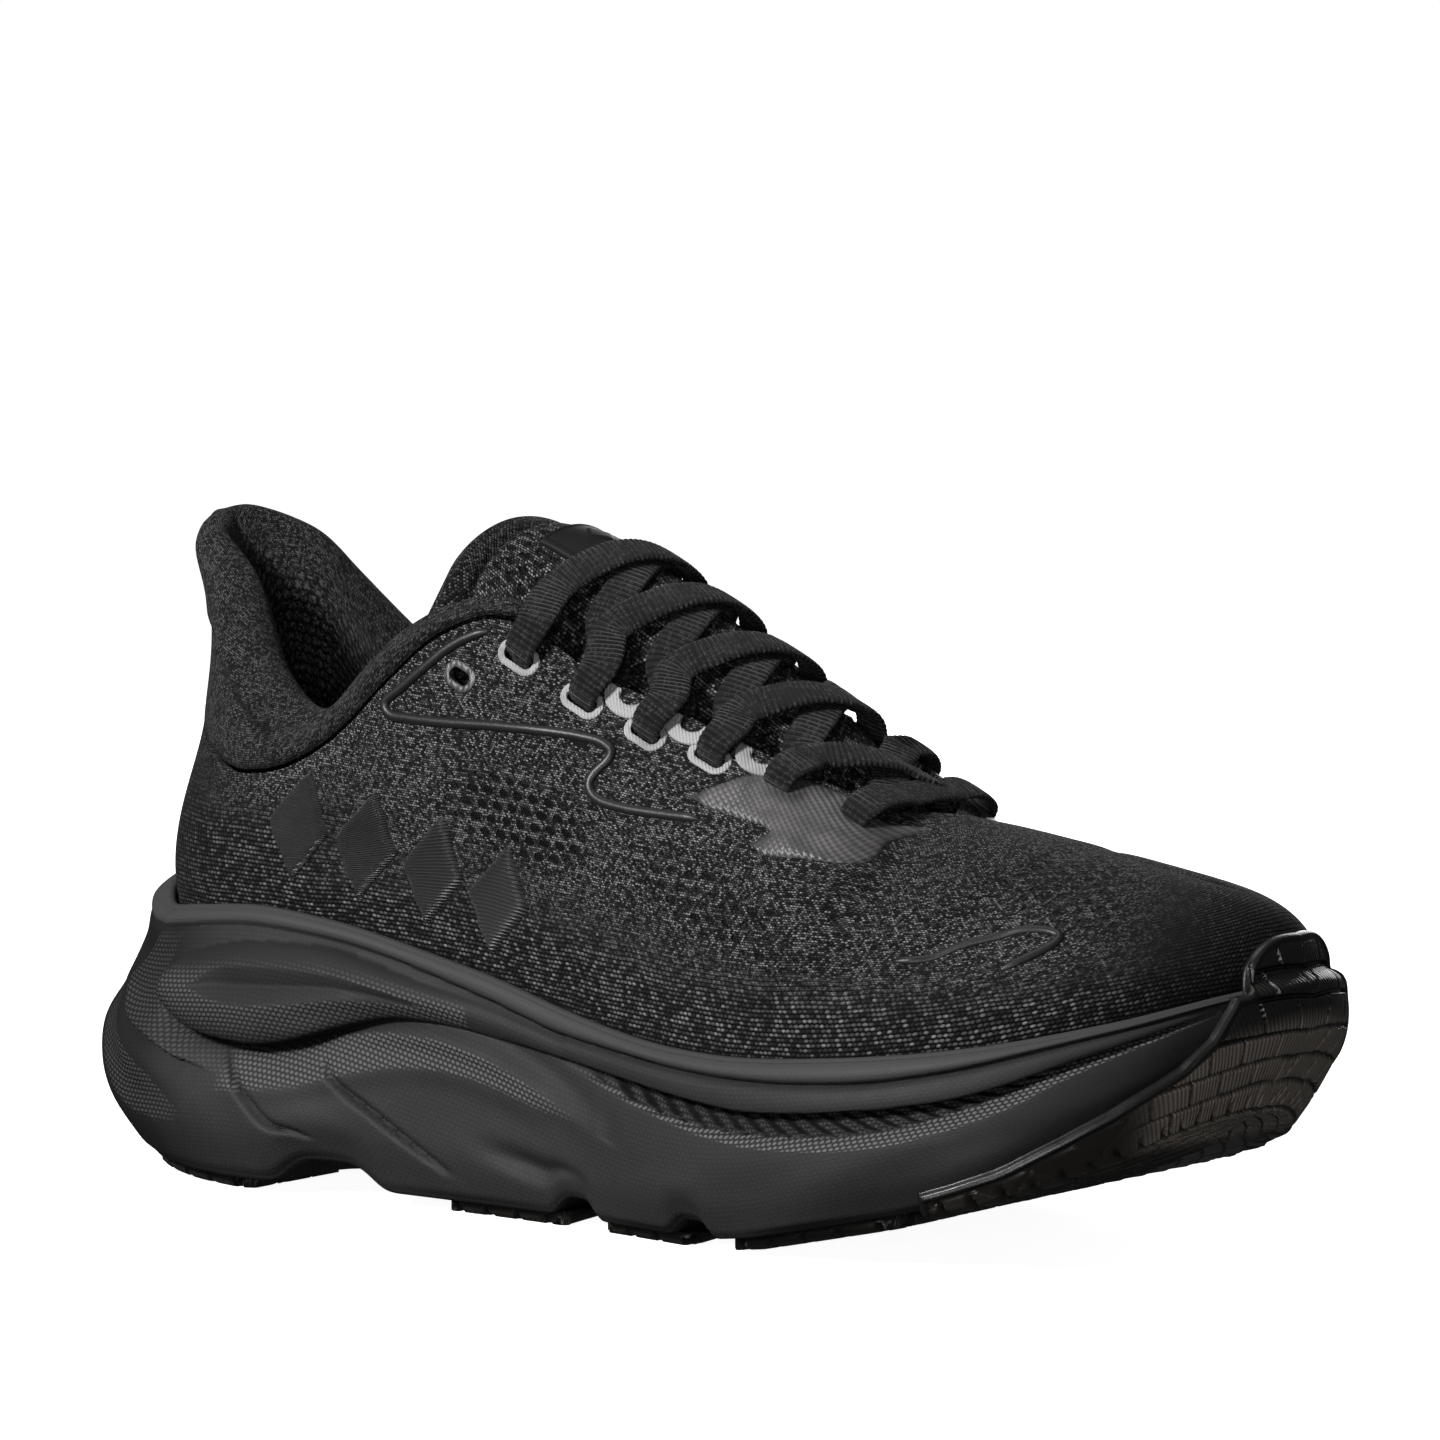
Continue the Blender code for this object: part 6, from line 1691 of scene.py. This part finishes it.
    # hollow: painted shade in the grooves and teeth; down: a lighter, warmer tone on faces that look down,
    # the rubber's own tone and partly painted light from below.
    piece("toe_bumper", points, faces, shade, np.concatenate([cloth.reshape(-1, 2)] * 2),
          slot="outsole_rubber",
          stands_for=["outsole_toe_wrap"], hollow=np.concatenate([groove.ravel(), zero]),
          rib=np.concatenate([((1 - groove) * (1 - plain) * rise(end, 2.0, 2.6)).ravel(), zero]),
          down=np.concatenate([(rise(-normal[..., 2], -0.1,
                                     0.5) * (1 - 0.85 * plain) * rise(end, 1.8, 2.4)).ravel(), zero]))


def make_sockliner(shade):
    s = np.linspace(0, 11, 150)
    ends = []
    for stations in (s, ROUND - s):
        ends.append(upper(stations, -1) - outward(stations) * (UPPER_THICK + 3.4))
    w = np.linspace(-1, 1, 41)
    row = ends[0][:, None] * ((1 - w) / 2)[None, :, None] + ends[1][:, None] * ((1 + w) / 2)[None, :, None]
    low = floor_height(row[..., 0]) + 2 * GAP + BOARD_THICK
    rounded = np.sqrt(np.clip((1 - np.abs(w)) / 0.1, 0, 1))[None, :] + 0 * low
    cup = 2.2 * np.abs(w)[None, :]**4 * (1 - rise(row[..., 0], -20, 60))
    over, under = row.copy(), row.copy()
    over[..., 2] = low + SOCKLINER_THICK * (0.35 + 0.65 * rounded) + cup
    under[..., 2] = low
    points, faces = slab(over, under)
    cloth = row[..., :2]
    zero = np.zeros(len(points))
    return piece("sockliner_pad", points, faces, shade, np.concatenate([cloth.reshape(-1, 2)] * 2),
                 body="sockliner",
                 slot="sockliner", stands_for=["sockliner"], open=zero, twill=zero, hollow=zero)


# -------------------------------------------------------------------------------------- put together
COLLAR_SHOWN_END = 4.86
# The seam across the heel tab: station, z
TAB_SEAM = [(0, 121), (0.8, 120), (1.4, 116), (1.9, 109.5), (2.3, 103), (2.8, 96), (3.2, 92)]
LACE_WIDTH_SHOWN = 8.2
LACE_RIB = 1.16
COURSE, BLOCK, TOOTH = 6.6, 11.0, 6.2        # pitch of the toe rubber's grooves, cuts and teeth
# The rubber tab on the toe: half its width in stations, its top's share
TAB_HALF, TAB_HIGH = 0.82, 0.31
SHOWN_SLOT = (7.6, 3.0)        # length and width of a laced hole
SHOWN_SPARE = (5.4, 2.8)
SHOWN_RING = 1.5
ROOM_LOW, ROOM_HIGH = 0.05, 0.15
LAMPS = [
    # name, place, aim, diameter, power
    ("key", (-0.35, -1.5, 0.95), (0, 0, 0.06), 0.4, 44),
    ("top", (-0.3, 0.2, 1.5), (0, 0, 0.06), 0.7, 3),
    ("low", (0.75, -1.2, 0.12), (0.1, 0, 0.03), 0.5, 6),
    ("back", (-0.5, 1.4, 0.45), (0, 0, 0.08), 0.9, 8),
]
# The film's outline and the other thin pieces, as x and z seen from the side
FILM_OUTLINE = [(23.5, 89.6), (29.5, 92.4), (33.5, 94.2), (39, 95), (46, 92.6), (52.5, 89.6), (58, 86.6),
                (62.5, 84.4),
                (67, 83.6), (63.8, 81.2), (64.8, 79.3), (63.8, 78), (58, 78.2), (45, 79), (41, 80.7),
                (44.3, 83.4),
                (41.3, 84.8), (28, 87.4)]


def build():
    knit = knit_shade("upper_knit_fabric", (0.0007, 0.0007, 0.0008), (0.0075, 0.0073, 0.0076),
                      (0.27, 0.266, 0.27),
                      wide=0.66, high=0.5, fleck=2.5)
    tongue_knit = knit_shade("tongue_knit_fabric", (0.0008, 0.0008, 0.0009), (0.009, 0.0088, 0.0091),
                             (0.26, 0.256, 0.26), wide=0.8, high=0.62, fleck=1.9, depth=0.0004)
    cover = knit_shade("sockliner_cover", (0.006, 0.006, 0.006), (0.018, 0.018, 0.0185),
                       (0.04, 0.04, 0.041),
                       openings=False)
    rubber = rubber_shade("rubber_tread", (0.008, 0.0077, 0.0074), (0.03, 0.027, 0.024), ribs=1.5)
    toe_rubber = rubber_shade("rubber_toe", (0.011, 0.0105, 0.01), (0.36, 0.31, 0.27), gloss=0.3)
    collar = collar_shade()
    film = film_shade("grey_film", (0.04, 0.038, 0.038), (0.115, 0.11, 0.109))
    mark = film_shade("grey_mark", (0.26, 0.255, 0.255), (0.38, 0.375, 0.375), gloss=0.6, weave=0.9)
    piping = plain_shade("bonded_line", (0.012, 0.012, 0.0122), 0.42, depth=0.00006, Specular_IOR_Level=0.4)
    label = plain_shade("label_patch", (0.006, 0.006, 0.0063), 0.55, scale=1500, depth=0.00005,
                        Specular_IOR_Level=0.14)
    satin = satin_shade("satin_stitch")
    aglet = plain_shade("moulded_tip", (0.008, 0.008, 0.008), 0.22, depth=0.00002)
    board = plain_shade("strobel_felt", (0.26, 0.26, 0.27), 0.9, scale=500, depth=0.0003)
    shell = plain_shade("moulded_shell", (0.05, 0.05, 0.05), 0.5, scale=400, depth=0.0001)
    skin, seen = Skin(), Seen()

    make_midsole(foam_shade())
    for name, place in RUBBER_PODS.items():
        make_pod(name, rubber, *place)
    make_toe_rubber(toe_rubber)
    make_sockliner(cover)
    make_upper(knit, skin)
    make_collar(collar)
    make_tongue(tongue_knit)
    make_label(label)
    make_lace(lace_shade(), skin)

    outline = seen.at(*np.array(FILM_OUTLINE).T)
    for side, word in ((-1, "lateral"), (1, "medial")):
        for index in range(RINGS_FROM, len(EYELETS)):
            label_name = "spare" if index == LACED else str(index + 1)
            make_ring(f"ring_{word}_{label_name}", skin, index, side, film if index == LACED else mark,
                      f"eyelet_ring_{word}_{label_name}")
        overlay(f"film_{word}", outline, side, 0.05, 0.35, film, slot="film_grey",
                stands_for=[f"throat_film_{word}"])
        for i, station in enumerate(MARK_STATIONS):
            sections = make_mark(station, side)
            rows = []
            for section in sections:
                row = []
                for p, lift in section:
                    on, way = skin.near(p)
                    row.append(on + way * (lift + 0.15))
                rows.append(row)
            points, faces = loft(np.array(rows))
            piece(f"mark_{word}_{i + 1}", points, faces, mark, points[:, :2], slot="film_grey",
                  stands_for=[f"throat_mark_{word}_{i + 1}"])
        bead_line(f"quarter_piping_{word}", QUARTER_LINE, side, seen, LINE_WIDTH + 0.3, 1.15, piping,
                  "film_black",
                  [f"quarter_line_{word}"])
        bead_line(f"toe_piping_{word}", TOE_LINE, side, seen, LINE_WIDTH, 0.9, piping, "film_black",
                  [f"toe_line_{word}"])
        for i, (x, z) in enumerate(DIAMONDS):
            corners = []
            for u in np.linspace(-1, 1, 9):
                corners.append((u, 1 - abs(u)))
            shape = corners + [(u, -h) for u, h in corners[-2:0:-1]]
            points = [(x + u * DIAMOND_HALF[0] + h * DIAMOND_HALF[1] * 0.22,
                       z + h * DIAMOND_HALF[1] - u * 1.2)
                      for u, h in shape]
            overlay(f"diamond_{word}_{i + 1}", seen.at(*np.array(points).T), side, 0.1, 0.9, satin,
                    slot="film_black",
                    stands_for=[f"side_diamond_{word}_{i + 1}"], round_edge=0.6)
        piece(f"aglet_{word}", *loft(tip_loops(side)), aglet, slot="aglet", stands_for=[f"lace_tip_{word}"])
    for name, shade in (("strobel_board", board), ("heel_counter", shell), ("toe_puff", shell)):
        node = frame["nodes"][name]
        node.data.materials.clear()
        node.data.materials.append(shade)


def studio():
    """A pale floor, soft light and the camera."""
    world = bpy.data.worlds.new("studio")
    world.use_nodes = True
    tree = world.node_tree
    seen_as = tree.nodes["Background"]
    seen_as.inputs[0].default_value = (1, 1, 1, 1)
    seen_as.inputs[1].default_value = 1.0
    room = tree.nodes.new("ShaderNodeBackground")
    direction = tree.nodes.new("ShaderNodeSeparateXYZ")
    place = tree.nodes.new("ShaderNodeTexCoord")
    height = tree.nodes.new("ShaderNodeMapRange")
    height.inputs["From Min"].default_value = -0.1
    height.inputs["From Max"].default_value = 0.9
    height.inputs["To Min"].default_value = ROOM_LOW
    height.inputs["To Max"].default_value = ROOM_HIGH
    tree.links.new(place.outputs["Generated"], direction.inputs[0])
    tree.links.new(direction.outputs[2], height.inputs["Value"])
    tree.links.new(height.outputs["Result"], room.inputs[1])
    either = tree.nodes.new("ShaderNodeMixShader")
    path = tree.nodes.new("ShaderNodeLightPath")
    tree.links.new(path.outputs["Is Camera Ray"], either.inputs[0])
    tree.links.new(room.outputs[0], either.inputs[1])
    tree.links.new(seen_as.outputs[0], either.inputs[2])
    tree.links.new(either.outputs[0], tree.nodes["World Output"].inputs[0])
    bpy.context.scene.world = world
    bpy.context.scene.view_settings.view_transform = "Standard"
    mesh = bpy.data.meshes.new("studio_floor")
    mesh.from_pydata([(-30, -30, 0), (30, -30, 0), (30, 30, 0), (-30, 30, 0)], [], [(0, 1, 2, 3)])
    floor = bpy.data.objects.new("studio_floor", mesh)
    bpy.context.scene.collection.objects.link(floor)
    pale = Shade("pale_floor", 0.9, Emission_Strength=0.94, Specular_IOR_Level=0.0)
    pale.set("Emission Color", (1.0, 1.0, 1.0))
    grain = pale.noise(3, 2.0)
    pale.set("Base Color", pale.mix(grain, (0.9, 0.9, 0.9), (0.93, 0.93, 0.93)))
    mesh.materials.append(pale.material)
    floor.visible_diffuse = False
    floor.visible_glossy = False

    def lamp(name, place, at, size, power):
        data = bpy.data.lights.new(name, "AREA")
        data.shape, data.size, data.energy = "DISK", size, power
        made = bpy.data.objects.new(name, data)
        made.location = place
        made.rotation_euler = (Vector(at) - Vector(place)).to_track_quat("-Z", "Y").to_euler()
        bpy.context.scene.collection.objects.link(made)

    for name, place, at, size, power in LAMPS:
        lamp(name, place, at, size, power)

    azimuth, elevation, apart = math.radians(37), math.radians(6), 1.3
    back = Vector((math.sin(azimuth) * math.cos(elevation), -math.cos(azimuth) * math.cos(elevation),
                   math.sin(elevation)))
    right = Vector((math.cos(azimuth), math.sin(azimuth), 0))
    up = back.cross(right)
    target = Vector((CENTRED[0] * MM, CENTRED[1] * MM, 0.06))
    data = bpy.data.cameras.new("camera")
    data.lens, data.sensor_width = 155.4, 36
    camera = bpy.data.objects.new("camera", data)
    camera.location = target + back * apart
    aim = target + up * 0.042 + right * 0.0048
    camera.rotation_mode = "QUATERNION"
    camera.rotation_quaternion = (camera.location - aim).to_track_quat("Z", "Y")
    bpy.context.scene.collection.objects.link(camera)
    bpy.context.scene.camera = camera


build()
studio()
